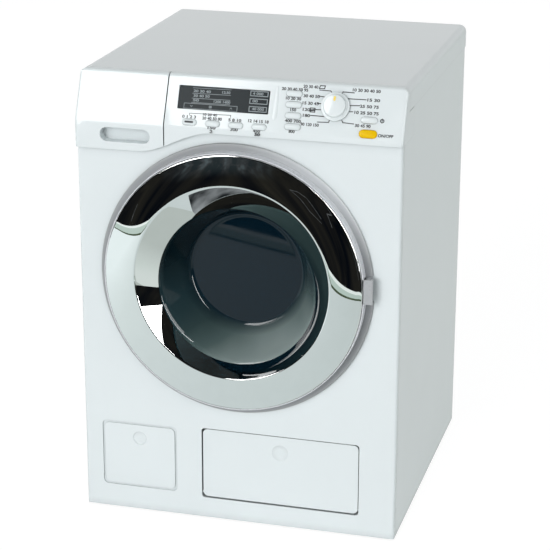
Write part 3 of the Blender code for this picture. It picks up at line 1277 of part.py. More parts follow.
def add_reduction_gear(finish):
    """A small and a large gear in one moulding, on a fixed axle."""
    gap_turn = GEAR_AXIS_TURN + math.pi + math.pi / SMALL_GEAR_TEETH
    small = gear_prism("reduction_gear", SMALL_GEAR_TEETH, FIRST_MODULE, gap_turn, GEAR_AXLE_X,
                       GEAR_AXLE_HEIGHT, GEAR_DEPTH, finish)
    hub_radius = FIRST_MODULE * SMALL_GEAR_TEETH / 2 - FIRST_MODULE * DEDENDUM_SHARE
    hub = prism("hub", circle(hub_radius, FINE_SIDES, GEAR_AXLE_X, z_at(GEAR_AXLE_HEIGHT)), "Y",
                y_at(GEAR_DEPTH + GEAR_THICKNESS / 2), y_at(SECOND_GEAR_DEPTH + GEAR_THICKNESS / 2), finish)
    large = gear_prism("large_gear", LARGE_GEAR_TEETH, SECOND_MODULE, 0.0, GEAR_AXLE_X, GEAR_AXLE_HEIGHT,
                       SECOND_GEAR_DEPTH, finish)
    fuse(small, hub, large)
    cut(small, axle_bore(GEAR_AXLE_RADIUS, RUNNING_FIT, GEAR_AXLE_X, GEAR_AXLE_HEIGHT, finish))
    set_origin([small], (GEAR_AXLE_X, y_at(GEAR_DEPTH), z_at(GEAR_AXLE_HEIGHT)))


def add_gear_axle(finish):
    """The fixed axle, with a shoulder against the tub that keeps the gears in line."""
    shoulder = y_at(GEAR_DEPTH - GAP)
    rows = [(GEAR_SHOULDER_RADIUS, y_at(TUB_BACK_DEPTH + GAP)), (GEAR_SHOULDER_RADIUS, shoulder),
            (GEAR_AXLE_RADIUS, shoulder), (GEAR_AXLE_RADIUS, y_at(BRACKET_DEPTH + BRACKET_THICKNESS))]
    return turned("gear_axle", rows, finish, FINE_SIDES, False, GEAR_AXLE_X, z_at(GEAR_AXLE_HEIGHT))


def add_motor(finish, gear_finish):
    """The motor behind its bracket, with the shaft and pinion that it turns."""
    gap_turn = math.pi + math.pi / PINION_TEETH
    pinion = gear_prism("motor_pinion", PINION_TEETH, SECOND_MODULE, gap_turn, MOTOR_X, GEAR_AXLE_HEIGHT,
                        SECOND_GEAR_DEPTH, gear_finish)
    cut(pinion, axle_bore(MOTOR_SHAFT_RADIUS, GAP, MOTOR_X, GEAR_AXLE_HEIGHT, gear_finish))
    centre = z_at(GEAR_AXLE_HEIGHT)
    front = y_at(BRACKET_DEPTH + BRACKET_THICKNESS + GAP)
    shaft = prism("motor_shaft", circle(MOTOR_SHAFT_RADIUS, FINE_SIDES, MOTOR_X, centre), "Y",
                  y_at(SECOND_GEAR_DEPTH), front + MOTOR_LENGTH / 2, finish)
    body = prism("motor", pill(MOTOR_WIDTH, MOTOR_TALL, MOTOR_X, centre), "Y", front,
                 front + MOTOR_LENGTH, finish)
    boss = prism("motor_boss", circle(MOTOR_BOSS_RADIUS, FINE_SIDES, MOTOR_X, centre), "Y",
                 y_at(BRACKET_DEPTH), front + GAP, finish)
    fuse(body, boss)
    bore = circle(hole_radius(MOTOR_SHAFT_RADIUS, RUNNING_FIT, FINE_SIDES), FINE_SIDES, MOTOR_X, centre)
    bore_end = front + MOTOR_LENGTH / 2 + GAP
    cut(body, prism("motor_bore", bore, "Y", y_at(BRACKET_DEPTH - OVERRUN), bore_end, finish))
    set_origin([pinion, shaft], (MOTOR_X, y_at(SECOND_GEAR_DEPTH), centre))


def bracket_post_places():
    places = []
    for turn in BRACKET_POST_TURNS:
        places.append((BRACKET_POST_RING_RADIUS * math.cos(turn),
                       MOUTH_HEIGHT + BRACKET_POST_RING_RADIUS * math.sin(turn)))
    return places


def add_motor_bracket(finish):
    """A plate behind the gears on three posts from the tub, which carries the axle and the motor."""
    corners = [(x, z_at(h)) for x, h in bracket_post_places()] + [(MOTOR_X, z_at(GEAR_AXLE_HEIGHT))]
    rim = [BRACKET_RIM] * (len(corners) - 1) + [MOTOR_TALL / 2 + BRACKET_THICKNESS]
    outline = hull_outline(corners, rim)
    bracket = prism("motor_bracket", outline, "Y", y_at(BRACKET_DEPTH),
                    y_at(BRACKET_DEPTH + BRACKET_THICKNESS), finish)
    for across, up in corners[:-1]:
        post = prism("bracket_post", circle(BRACKET_POST_RADIUS, FINE_SIDES, across, up), "Y",
                     y_at(TUB_BACK_DEPTH + GAP), y_at(BRACKET_DEPTH + BRACKET_THICKNESS / 2), finish)
        fuse(bracket, post)
    boss = circle(MOTOR_BOSS_RADIUS + GAP, FINE_SIDES, MOTOR_X, z_at(GEAR_AXLE_HEIGHT))
    hole = prism("boss_hole", boss, "Y", y_at(BRACKET_DEPTH - OVERRUN),
                 y_at(BRACKET_DEPTH + BRACKET_THICKNESS + OVERRUN), finish)
    return cut(bracket, hole, axle_bore(GEAR_AXLE_RADIUS, GAP, GEAR_AXLE_X, GEAR_AXLE_HEIGHT, finish))


def hull_outline(corners, rims):
    """The outline of a band stretched round discs at the corners."""
    points = []
    for (across, up), rim in zip(corners, rims):
        points += circle(rim, FINE_SIDES, across, up)
    points.sort()
    chains = []
    for line in (points, list(reversed(points))):
        chain = []
        for point in line:
            while len(chain) > 1 and turn_of(chain[-2], chain[-1], point) <= 0:
                chain.pop()
            chain.append(point)
        chains.append(chain[:-1])
    return chains[0] + chains[1]


def turn_of(first, second, third):
    return ((second[0] - first[0]) * (third[1] - first[1])
            - (second[1] - first[1]) * (third[0] - first[0]))


# Rear cover, battery box, loudspeaker and feet

def battery_lid_outline(margin):
    half = BATTERY_SPACE_WIDTH / 2 + BATTERY_WALL + BATTERY_LID_MARGIN + margin
    low = BATTERY_HEIGHT - BATTERY_SPACE_TALL / 2 - BATTERY_WALL - BATTERY_LID_MARGIN - margin
    high = BATTERY_HEIGHT + BATTERY_SPACE_TALL / 2 + BATTERY_WALL + BATTERY_LUG_TALL + margin
    return rounded(-half, half, z_at(low), z_at(high), FLAP_CORNER)


def battery_screw_height():
    return BATTERY_HEIGHT + (BATTERY_SPACE_TALL + BATTERY_LUG_TALL) / 2 + BATTERY_WALL


def add_rear_cover(finish):
    half = HALF_WIDTH - WALL - GAP
    front = y_at(COVER_DEPTH)
    cover = box("rear_cover", (-half, front, z_at(WALL + GAP)),
                (half, front + WALL, z_at(SKIRT_HEIGHT - GAP)), finish)
    cut(cover, prism("battery_hole", battery_lid_outline(GAP), "Y",
                     front - OVERRUN, front + WALL + OVERRUN, finish))
    for across, height in rear_screw_places():
        cut(cover, sunk_hole(across, height, COVER_DEPTH + WALL, finish))
    for index in range(SLOT_COUNT):
        rise = (index - (SLOT_COUNT - 1) / 2) * SLOT_PITCH
        reach = math.sqrt(SPEAKER_RADIUS ** 2 - rise ** 2) * 2 - SPEAKER_RIM * 2
        slot = pill(reach, SLOT_TALL, SPEAKER_X, z_at(SPEAKER_HEIGHT + rise))
        cut(cover, prism("sound_slot", slot, "Y", front - OVERRUN, front + WALL + OVERRUN, finish))
    return cover


def add_screw(name, across, height, face_depth, finish):
    """A pan-head screw with one slot, its head sunk into the face at face_depth."""
    seat = y_at(face_depth - SCREW_SINK) + GAP
    head = seat + SCREW_HEAD_THICKNESS
    shrink = SCREW_SLOT / 2
    rows = [(SCREW_RADIUS, seat - SCREW_LENGTH), (SCREW_RADIUS, seat), (SCREW_HEAD_RADIUS, seat),
            (SCREW_HEAD_RADIUS, head - shrink), (SCREW_HEAD_RADIUS - shrink, head)]
    screw = turned(name, rows, finish, SCREW_SIDES, False, across, z_at(height))
    reach = SCREW_HEAD_RADIUS + OVERRUN
    slot = box("screw_slot", (across - reach, head - SCREW_SLOT, z_at(height) - shrink),
               (across + reach, head + OVERRUN, z_at(height) + shrink), finish)
    return cut(screw, slot)


def add_battery_box(finish):
    half = BATTERY_SPACE_WIDTH / 2
    low = z_at(BATTERY_HEIGHT - BATTERY_SPACE_TALL / 2)
    high = z_at(BATTERY_HEIGHT + BATTERY_SPACE_TALL / 2)
    back = y_at(COVER_DEPTH - GAP)
    wall = BATTERY_WALL
    front = back - BATTERY_SPACE_DEPTH - wall
    body = box("battery_box", (-half - wall, front, low - wall), (half + wall, back, high + wall), finish)
    lug = BATTERY_LUG_WIDTH / 2
    fuse(body, box("screw_lug", (-lug, back - SCREW_LENGTH - wall, high + wall / 2),
                   (lug, back, high + wall + BATTERY_LUG_TALL - GAP), finish))
    inside = box("battery_inside", (-half, front + wall, low), (half, back + OVERRUN, high), finish)
    return cut(body, inside, screw_hole(0.0, battery_screw_height(), SCREW_LENGTH, finish))


def add_battery_lid(finish):
    front = y_at(COVER_DEPTH)
    lid = prism("battery_cover", battery_lid_outline(0.0), "Y", front, front + BATTERY_LID_THICKNESS, finish)
    return cut(lid, sunk_hole(0.0, battery_screw_height(), COVER_DEPTH + BATTERY_LID_THICKNESS, finish))


def add_loudspeaker(finish):
    back = y_at(COVER_DEPTH - GAP)
    rim = back - SPEAKER_RIM
    cone = rim - SPEAKER_CONE_LENGTH
    rows = [(SPEAKER_MAGNET_RADIUS, cone - SPEAKER_MAGNET_LENGTH), (SPEAKER_MAGNET_RADIUS, cone),
            (SPEAKER_RADIUS - SPEAKER_RIM, rim), (SPEAKER_RADIUS, rim), (SPEAKER_RADIUS, back)]
    return turned("loudspeaker", rows, finish, FINE_SIDES * 2, False, SPEAKER_X, z_at(SPEAKER_HEIGHT))


def add_feet(finish):
    names = ("foot_front_left", "foot_front_right", "foot_rear_left", "foot_rear_right")
    pad_top = z_at(0.0) - GAP
    stem_top = z_at(WALL + FOOT_STEM_ABOVE_FLOOR)
    for name, (across, along) in zip(names, foot_places()):
        rows = [(FOOT_RADIUS, 0.0), (FOOT_RADIUS, pad_top), (FOOT_STEM_RADIUS, pad_top),
                (FOOT_STEM_RADIUS, stem_top)]
        upright(name, rows, finish, FINE_SIDES, across, along)


# Service flap and the pocket behind it

def add_service_flap(finish):
    outline = rounded(FLAP_LEFT_X, FLAP_RIGHT_X, z_at(FLAP_LOW_HEIGHT), z_at(FLAP_HIGH_HEIGHT), FLAP_CORNER)
    flap = prism("service_flap", outline, "Y", y_at(0.0), y_at(FLAP_THICKNESS), finish)
    depth, height = flap_axis()
    side = FLAP_CORNER
    barrel = prism("flap_barrel", circle(FLAP_BARREL_RADIUS, FINE_SIDES, y_at(depth), z_at(height)), "X",
                   FLAP_LEFT_X + side / 2, FLAP_RIGHT_X - side / 2, finish)
    reach = FLAP_RIM_WIDTH - POCKET_WALL
    stub = prism("flap_stub", circle(FLAP_STUB_RADIUS, FINE_SIDES, y_at(depth), z_at(height)), "X",
                 FLAP_LEFT_X - FLAP_GAP_LEFT - reach, FLAP_RIGHT_X + FLAP_GAP_RIGHT + reach, finish)
    fuse(flap, barrel, stub)
    middle = (FLAP_LEFT_X + FLAP_RIGHT_X) / 2
    cut(flap, dimple("flap_dimple", middle, FLAP_DIMPLE_HEIGHT, FLAP_DIMPLE_RADIUS, DIMPLE_DEPTH, finish))
    set_origin([flap], (middle, y_at(depth), z_at(height)))


def add_service_pocket(finish):
    front = y_at(FLAP_RIM_DEPTH + GAP)
    wall = POCKET_WALL
    pocket = prism("service_pocket", flap_opening(wall), "Y", front, front + POCKET_DEPTH, finish)
    inside = prism("pocket_inside", flap_opening(0.0), "Y",
                   front - OVERRUN, front + POCKET_DEPTH - wall, finish)
    return cut(pocket, inside)


def clear_scene():
    for piece in list(bpy.data.objects):
        bpy.data.objects.remove(piece)


def shade(pieces):
    for piece in pieces:
        piece.data.shade_smooth()
        piece.data.set_sharp_from_angle(angle=SMOOTH_TURN)


def add_casing(finishes):
    add_front_panel(finishes["white"])
    add_cabinet(finishes["white"])
    add_top_cover(finishes["white"])
    add_rear_cover(finishes["white"])
    add_feet(finishes["rubber"])
    names = ("rear_screw_low_left", "rear_screw_low_right", "rear_screw_high_left", "rear_screw_high_right")
    for name, (across, height) in zip(names, rear_screw_places()):
        add_screw(name, across, height, COVER_DEPTH + WALL, finishes["steel"])


def add_controls(finishes):
    add_control_fascia(finishes["white"])
    add_display_window(finishes["dark"])
    for name, across, up, width, tall in button_places():
        colour = "orange" if name == "door_button" else "white"
        add_button(name, across, up, width, tall, finishes[colour])
    add_knob(finishes["white"], finishes["light_grey"])
    add_board(finishes["board"], finishes["pale_rubber"], finishes["dark"])
    add_drawer(finishes["white"], finishes["inner"])
    add_drawer_housing(finishes["inner"])


def add_drive(finishes):
    add_door_seal(finishes["pale_rubber"])
    add_tub(finishes["inner"])
    add_shaft_bush(finishes["gear"])
    turning = [add_drum(finishes["drum"]), add_drum_shaft(finishes["steel"]), add_drum_gear(finishes["gear"])]
    set_origin(turning, (0.0, y_at(DRUM_BACK_DEPTH), z_at(MOUTH_HEIGHT)))
    add_reduction_gear(finishes["gear"])
    add_gear_axle(finishes["steel"])
    add_motor(finishes["steel"], finishes["gear"])
    add_motor_bracket(finishes["inner"])


def add_rear_fittings(finishes):
    add_battery_box(finishes["dark"])
    add_battery_lid(finishes["white"])
    add_screw("battery_screw", 0.0, battery_screw_height(),
              COVER_DEPTH + BATTERY_LID_THICKNESS, finishes["steel"])
    add_loudspeaker(finishes["dark"])
    add_service_flap(finishes["white"])
    add_service_pocket(finishes["inner"])


def main():
    clear_scene()
    finishes = make_finishes()
    add_casing(finishes)
    add_controls(finishes)
    add_door(finishes)
    add_drive(finishes)
    add_rear_fittings(finishes)
    shade([piece for piece in bpy.data.objects if piece.type == "MESH"])


main()
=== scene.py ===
"""Looks of the toy washing machine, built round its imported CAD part.

Metres, +Z up, the front faces -Y, as in the CAD part. Pieces on the slanted fascia are made
in its own directions: x to the right, up the slope and out of the face.
"""

from math import asin, cos, hypot, pi, radians, sin, sqrt, tau

import bmesh
import bpy
from mathutils import Matrix, Vector


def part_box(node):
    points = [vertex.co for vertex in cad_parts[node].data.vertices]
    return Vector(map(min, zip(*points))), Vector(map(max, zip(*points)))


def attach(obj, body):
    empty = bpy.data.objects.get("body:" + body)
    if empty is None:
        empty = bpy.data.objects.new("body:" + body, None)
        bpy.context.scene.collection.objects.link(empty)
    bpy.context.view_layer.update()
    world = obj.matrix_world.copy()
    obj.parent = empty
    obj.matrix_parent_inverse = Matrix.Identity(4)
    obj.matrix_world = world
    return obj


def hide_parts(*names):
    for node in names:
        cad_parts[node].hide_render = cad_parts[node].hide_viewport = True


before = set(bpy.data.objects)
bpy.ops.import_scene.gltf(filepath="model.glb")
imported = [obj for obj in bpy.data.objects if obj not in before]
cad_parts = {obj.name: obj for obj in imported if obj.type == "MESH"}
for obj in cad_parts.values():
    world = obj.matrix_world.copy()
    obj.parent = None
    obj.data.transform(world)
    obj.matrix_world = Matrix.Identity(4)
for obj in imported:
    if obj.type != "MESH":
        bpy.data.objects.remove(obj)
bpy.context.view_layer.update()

# Fineness of the round shapes, and how meshes are joined and shaded
RING_SIDES = 192
SMALL_SIDES = 64
ARC_STEPS = 6
CAP_STEPS = 12
SMOOTH_TURN = radians(28.0)
MERGE = 0.000002
FLAT_FACE_WEIGHT = 90

# The slanted face, from the top cover's height and the fascia's front. A key's visible part lies
# above the first level out of it, and every part above the second.
SLANT_TURN = radians(23.9)
CREASE_DROP = 0.0262
ABOVE_FACE = 0.0002
UNDER_ALL = -1.0

# Door ring: the face is a shallow crown from the rim to the funnel's edge
RING_RIM_INSET = 0.0004
RING_RIM_DROP = 0.0026
RING_EDGE_ROUND = 0.0006
RING_WALL = 0.0017
RING_CROWN = 0.0005
RING_FACE_RADIUS = 0.0558
RING_FACE_LIFT = 0.0010
FUNNEL_RADIUS = 0.04555
FUNNEL_REACH = 0.0112
FUNNEL_BOW = 0.00013
FUNNEL_DROP = 0.0043

# Grey band: a collar round the ring and a low flange on the casing's front
COLLAR_GAP = 0.0003
COLLAR_BELOW_RIM = 0.0008
COLLAR_WALL = 0.0005
COLLAR_FILLET = 0.0007
FLANGE_THICKNESS = 0.0022
FLANGE_SLOPE = 0.0009
FLANGE_ROUND = 0.0008
FRAME_HOLE_RADIUS = 0.0513
FRAME_HOLE_DROP = 0.0026
FRAME_WALL = 0.0020
NOTCH_SPACE = 0.0003

# Window bowl
BOWL_WALL = 0.0016
BOWL_RIM_RADIUS = 0.0450
BOWL_RIM_GAP = 0.0003
BOWL_END_RADIUS = 0.0335
BOWL_END_ROUND = 0.0042
BOWL_END_DROP = 0.0010
BOWL_END_DOME = 0.0007
BOWL_TIP_RADIUS = 0.0003

# Knob, buttons and display
KNOB_CAP_RADIUS = 0.0060
KNOB_SKIRT_HEIGHT = 0.0016
KNOB_LIFT = 0.0003
KNOB_CROWN = 0.0003
KNOB_TAPER = 0.0002
KNOB_EDGE = 0.0006
KNOB_TIP_RADIUS = 0.0001
POINTER_LENGTH = 0.0026
POINTER_WIDTH = 0.0012
POINTER_FROM_RIM = 0.0010
POINTER_LEVELS = (-0.0010, -0.00005)
BUTTON_GROWTH = 0.00018
BUTTON_SHOULDER = 0.0009
BUTTON_CROWN = 0.0002
BUTTON_RIDGE = 0.0002
START_BAR_WIDTH = 0.0050
START_BAR_TALL = 0.0010
START_BAR_SUNK = 0.0004
SCREEN_LEVEL = -0.0015
SCREEN_CORNER = 0.0006
SCREEN_BODY = 0.0010

# Rib beside the display
RIB_LOW = (0.0209, 0.0069)
RIB_HIGH = (0.0212, 0.0256)
RIB_LOW_WIDTH = 0.0034
RIB_HIGH_WIDTH = 0.0018
RIB_RISE = 0.00030
RIB_END_SHARE = 0.2
RIB_BLUNTNESS = 8

# Printed marks
PRINT_RISE = 0.00003
PRINT_BODY = 0.00001
LINE_WIDTH = 0.00048


def top_of(node):
    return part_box(node)[1].z


FASCIA_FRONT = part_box("control_fascia")[0].y
CREASE_Z = top_of("top_cover") - CREASE_DROP
SLANT = Matrix(((1.0, 0.0, 0.0, 0.0),
                (0.0, sin(SLANT_TURN), -cos(SLANT_TURN), FASCIA_FRONT),
                (0.0, cos(SLANT_TURN), sin(SLANT_TURN), CREASE_Z),
                (0.0, 0.0, 0.0, 1.0)))
UPRIGHT = Matrix.Identity(4)


# Meshes

def add_mesh(name, vertices, faces, finish, place=UPRIGHT, turn=SMOOTH_TURN):
    mesh = bpy.data.meshes.new(name)
    mesh.from_pydata([place @ Vector(point) for point in vertices], [], faces)
    return finish_mesh(name, mesh, finish, turn)


def finish_mesh(name, mesh, finish, turn=SMOOTH_TURN):
    work = bmesh.new()
    work.from_mesh(mesh)
    bmesh.ops.remove_doubles(work, verts=work.verts, dist=MERGE)
    bmesh.ops.recalc_face_normals(work, faces=work.faces)
    work.to_mesh(mesh)
    work.free()
    mesh.materials.clear()
    mesh.materials.append(finish)
    for polygon in mesh.polygons:
        polygon.use_smooth = True
    mesh.set_sharp_from_angle(angle=turn)
    piece = bpy.data.objects.new(name, mesh)
    bpy.context.scene.collection.objects.link(piece)
    return piece


def loft_parts(loops, ring=False, capped=True):
    """Vertices and faces that skin a row of equal loops; the ends are capped, open or meet in a ring."""
    count = len(loops[0])
    vertices = [point for loop in loops for point in loop]
    faces = []
    for span in range(len(loops) if ring else len(loops) - 1):
        low = span * count
        high = (span + 1) % len(loops) * count
        for step in range(count):
            after = (step + 1) % count
            faces.append((low + step, low + after, high + after, high + step))
    if capped and not ring:
        faces.append(tuple(range(count)))
        faces.append(tuple(range(len(vertices) - count, len(vertices))))
    return vertices, faces


def add_loft(name, loops, finish, place=UPRIGHT, ring=False):
    vertices, faces = loft_parts(loops, ring)
    return add_mesh(name, vertices, faces, finish, place)


def rounded_rows(rows, reach, steps=ARC_STEPS, ring=True):
    """Rounds each corner of a row of points, over the given reach along both legs."""
    points = [Vector(row) for row in rows]
    count = len(points)
    out = []
    for index, corner in enumerate(points):
        if not ring and index in (0, count - 1):
            out.append(corner)
            continue
        before = points[index - 1] - corner
        after = points[(index + 1) % count] - corner
        start = corner + before.normalized() * min(reach, before.length / 2)
        end = corner + after.normalized() * min(reach, after.length / 2)
        for step in range(steps + 1):
            share = step / steps
            out.append(start * (1 - share) ** 2 + corner * 2 * share * (1 - share) + end * share ** 2)
    return out


def turned(name, rows, finish, sides, centre, ring=True):
    """A solid of circles round an axis along Y. A row is a radius, a y and a lift of its centre."""
    loops = []
    for radius, along, lift in rows:
        turns = [tau * side / sides for side in range(sides)]
        loops.append([(centre[0] + radius * cos(turn), along, centre[1] + lift + radius * sin(turn))
                      for turn in turns])
    return add_loft(name, loops, finish, ring=ring)


def pill(width, tall, across, up, steps=CAP_STEPS):
    """An outline with round ends."""
    radius = tall / 2
    reach = width / 2 - radius
    points = []
    for side in (1, -1):
        for step in range(steps + 1):
            turn = -pi / 2 + pi * step / steps + (0 if side > 0 else pi)
            points.append((across + side * reach + radius * cos(turn), up + radius * sin(turn)))
    return points


def on_slant(node, above):
    """The box of a node's vertices that lie higher than a level out of the slanted face."""
    back = SLANT.inverted()
    points = [back @ vertex.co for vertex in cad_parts[node].data.vertices]
    points = [point for point in points if point.z > above]
    low = Vector([min(point[axis] for point in points) for axis in range(3)])
    high = Vector([max(point[axis] for point in points) for axis in range(3)])
    return low, high


def middle_of(low, high):
    return (low.x + high.x) / 2, (low.y + high.y) / 2


def stand_for(piece, node, body):
    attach(piece, body)
    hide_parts(node)


# Finishes

def set_inputs(tree, node, inputs):
    """Links a node's inputs to sockets or gives them fixed values; gives back its outputs."""
    for key, source in inputs.items():
        if isinstance(source, bpy.types.NodeSocket):
            tree.links.new(source, node.inputs[key])
        else:
            node.inputs[key].default_value = source
    return node.outputs


def add_node(tree, kind, inputs):
    return set_inputs(tree, tree.nodes.new(kind), inputs)


def reckon(tree, kind, operation, sources):
    node = tree.nodes.new(kind)
    node.operation = operation
    return set_inputs(tree, node, dict(enumerate(sources)))


def with_numbers(tree, operation, *sources):
    return reckon(tree, "ShaderNodeMath", operation, sources)["Value"]


def with_vectors(tree, operation, *sources, gives="Vector"):
    return reckon(tree, "ShaderNodeVectorMath", operation, sources)[gives]


def in_range(tree, source, low, high, start=0.0, end=1.0, way="LINEAR"):
    """Turns the range between two limits of a value into the one between a start and an end."""
    node = tree.nodes.new("ShaderNodeMapRange")
    node.interpolation_type = way
    limits = {"Value": source, "From Min": low, "From Max": high, "To Min": start, "To Max": end}
    return set_inputs(tree, node, limits)["Result"]


def colour_ramp(tree, source, stops):
    """The colour that a value has in a row of places and colours."""
    ramp = tree.nodes.new("ShaderNodeValToRGB")
    elements = ramp.color_ramp.elements
    while len(elements) < len(stops):
        elements.new(1.0)
    for element, (where, colour) in zip(elements, stops):
        element.position = where
        element.color = (*colour, 1.0)
    return set_inputs(tree, ramp, {"Fac": source})["Color"]


def mix_colours(tree, share, first, second):
    mix = tree.nodes.new("ShaderNodeMix")
    mix.data_type = "RGBA"
    return set_inputs(tree, mix, {0: share, 6: first, 7: second})[2]


def own_place(tree):
    """A point's place in the piece's own coordinates."""
    return tree.nodes.new("ShaderNodeTexCoord").outputs["Object"]


def add_noise(tree, scale, detail, stretch=(1.0, 1.0, 1.0)):
    place = add_node(tree, "ShaderNodeMapping", {"Vector": own_place(tree), "Scale": stretch})
    noise = {"Vector": place["Vector"], "Scale": scale, "Detail": detail}
    return add_node(tree, "ShaderNodeTexNoise", noise)["Fac"]


def spread(tree, noise, low, high):
    """A value that follows a noise between two limits."""
    return in_range(tree, noise, *NOISE_RANGE, low, high)


def uneven(tree, noise, value, swing):
    """A value that follows a noise, a share below and above the given one."""
    return spread(tree, noise, value * (1 - swing), value * (1 + swing))


def tint(tree, noise, colour, swing):
    """A colour that follows a noise, a share darker and lighter than the given one."""
    return colour_ramp(tree, noise, [(where, [min(value * factor, 1.0) for value in colour])
                                     for where, factor in zip(NOISE_RANGE, (1 - swing, 1 + swing))])


def relief(tree, noise, height, edge=0.0):
    """Bumps from a noise, on a normal that softens the edges."""
    inputs = {"Strength": 1.0, "Distance": height, "Height": noise}
    if edge:
        soft = tree.nodes.new("ShaderNodeBevel")
        soft.samples = SOFT_SAMPLES
        inputs["Normal"] = set_inputs(tree, soft, {"Radius": edge})["Normal"]
    return add_node(tree, "ShaderNodeBump", inputs)["Normal"]


def paint_shade_in_hollows(tree, colour):
    """Painted shade: darkens a colour where other surfaces stand close, and most of all in gaps."""
    closeness = tree.nodes.new("ShaderNodeAmbientOcclusion")
    closeness.samples = SOFT_SAMPLES
    openness = set_inputs(tree, closeness, {"Distance": HOLLOW_REACH})["AO"]
    painted_shade_share = colour_ramp(tree, openness, [(where, (share,) * 3) for where, share in HOLLOW_SHARES])
    return with_vectors(tree, "MULTIPLY", colour, painted_shade_share)


def from_door_axis(tree, drop=0.0):
    """The way to a point from the door's axis, or from one that runs lower by the given drop."""
    axis = (DOOR_CENTRE[0], 0.0, DOOR_CENTRE[1] - drop)
    away = with_vectors(tree, "SUBTRACT", own_place(tree), axis)
    return with_vectors(tree, "MULTIPLY", away, (1.0, 0.0, 1.0))


def new_finish(name):
    finish = bpy.data.materials.new(name)
    finish.use_nodes = True
    return finish, finish.node_tree, finish.node_tree.nodes["Principled BSDF"]


def plastic(name, colour, roughness, height=0.0000012, edge=0.0004, gloss=0.5, hollows=False):
    finish, tree, shader = new_finish(name)
    grain = add_noise(tree, scale=PLASTIC_GRAIN, detail=3.0)
    base = tint(tree, add_noise(tree, scale=PLASTIC_CLOUDS, detail=2.0), colour, swing=0.006)
    set_inputs(tree, shader, {
        # with hollows set, the colour gets painted shade in gaps and recesses
        "Base Color": paint_shade_in_hollows(tree, base) if hollows else base,
        "Roughness": uneven(tree, grain, roughness, swing=0.15),
        "Normal": relief(tree, grain, height, edge),
        "Specular IOR Level": gloss})
    return finish


def metal(name, colour, roughness, noise, colour_swing, roughness_swing, height, edge=0.0):
    finish, tree, shader = new_finish(name)
    grain = add_noise(tree, *noise)
    set_inputs(tree, shader, {
        "Base Color": tint(tree, grain, colour, colour_swing),
        "Roughness": uneven(tree, grain, roughness, roughness_swing),
        "Normal": relief(tree, grain, height, edge),
        "Metallic": 1.0})
    return finish


def plated(name, colour, roughness):
    return metal(name, colour, roughness, (120.0, 2.0), 0.01, 0.4, height=0.0000002)


def brushed(name, colour, roughness):
    noise = (1500.0, 3.0, (1.0, 0.05, 1.0))
    return metal(name, colour, roughness, noise, 0.06, 0.2, height=0.000004, edge=0.0003)


def satin_with_painted_light(name, inner, outer, roughness):
    """Plastic with a silver lacquer, with painted shade next to the ring that grows paler towards the rim of
    the door's band, and a painted highlight in its lit part.
    """
    finish, tree, shader = new_finish(name)
    grain = add_noise(tree, scale=2500.0, detail=3.0)
    away = from_door_axis(tree)
    # painted shade: darker next to the ring, paler towards the band's rim
    reach = in_range(tree, with_vectors(tree, "LENGTH", away, gives="Value"),
                     RING_RADIUS + COLLAR_WALL, BAND_RADIUS)
    plain = colour_ramp(tree, reach, ((0.0, inner), (PALE_FROM, inner), (1.0, outer)))
    # painted highlight: paler where a point lies towards the lit direction
    lit_way = (cos(LIT_TURN), 0.0, sin(LIT_TURN))
    facing = with_vectors(tree, "DOT_PRODUCT", with_vectors(tree, "NORMALIZE", away), lit_way, gives="Value")
    lit = colour_ramp(tree, facing, [(where, (share / LIT_MOST,) * 3) for where, share in LIT_SHARES])
    shaded = with_vectors(tree, "MULTIPLY", plain, lit)
    set_inputs(tree, shader, {
        "Base Color": with_vectors(tree, "MULTIPLY", shaded, (LIT_MOST,) * 3),
        "Roughness": uneven(tree, grain, roughness, swing=0.15),
        "Normal": relief(tree, grain, height=0.000001, edge=0.0003),
        "Metallic": 0.08,
        "Specular IOR Level": 0.15})
    return finish


def smoked(name, wall, end, roughness):
    """Dark clear plastic: a wall with a row of colours that paint its reflections, palest at the lower right
    and streaked, and an end.
    """
    finish, tree, shader = new_finish(name)
    grain = add_noise(tree, scale=60.0, detail=2.0)
    cloud = add_noise(tree, scale=34.0, detail=1.0, stretch=(1.0, 0.4, 1.0))
    # painted reflection: the wall's colour grows paler towards the lower right, with streaks from a cloud
    # noise
    way = (-sin(SMOKE_TURN), 0.0, cos(SMOKE_TURN))
    along = with_vectors(tree, "DOT_PRODUCT", own_place(tree), way, gives="Value")
    drift = with_numbers(tree, "MULTIPLY_ADD", cloud, SMOKE_DRIFT, along)
    painted_wall_reflection = colour_ramp(tree, in_range(tree, drift, SMOKE_LOW, SMOKE_HIGH), wall)
    reach = with_vectors(tree, "LENGTH", from_door_axis(tree, BOWL_END_DROP), gives="Value")
    out_from = in_range(tree, reach, BOWL_END_RADIUS - BOWL_END_ROUND / 2, BOWL_END_RADIUS + BOWL_END_ROUND)
    set_inputs(tree, shader, {
        "Base Color": mix_colours(tree, out_from, (*end, 1.0), painted_wall_reflection),
        "Roughness": uneven(tree, grain, roughness, swing=0.3),
        "Normal": relief(tree, grain, height=0.0000004),
        "Transmission Weight": SMOKE_CLEAR,
        "IOR": 1.49,
        "Specular IOR Level": 0.40})
    return finish


def printed(name, colour):
    finish, tree, shader = new_finish(name)
    grain = add_noise(tree, scale=4000.0, detail=2.0)
    set_inputs(tree, shader, {"Base Color": tint(tree, grain, colour, swing=0.05),
                              "Roughness": spread(tree, grain, low=0.40, high=0.55)})
    return finish


def new_glow(name):
    """The finish of a card that only reflections see, still without its light."""
    finish = bpy.data.materials.new(name)
    finish.use_nodes = True
    finish.node_tree.nodes.clear()
    return finish, finish.node_tree


def shine(tree, colour, strength=1.0):
    light = add_node(tree, "ShaderNodeEmission", {"Color": colour, "Strength": strength})
    add_node(tree, "ShaderNodeOutputMaterial", {"Surface": light["Emission"]})


def streaks(tree, low, high, scale, stretch):
    """A colour with streaks between two others."""
    noise = add_noise(tree, scale, detail=4.0, stretch=stretch)
    return colour_ramp(tree, noise, ((STREAKS_FROM, low), (STREAKS_TO, high)))


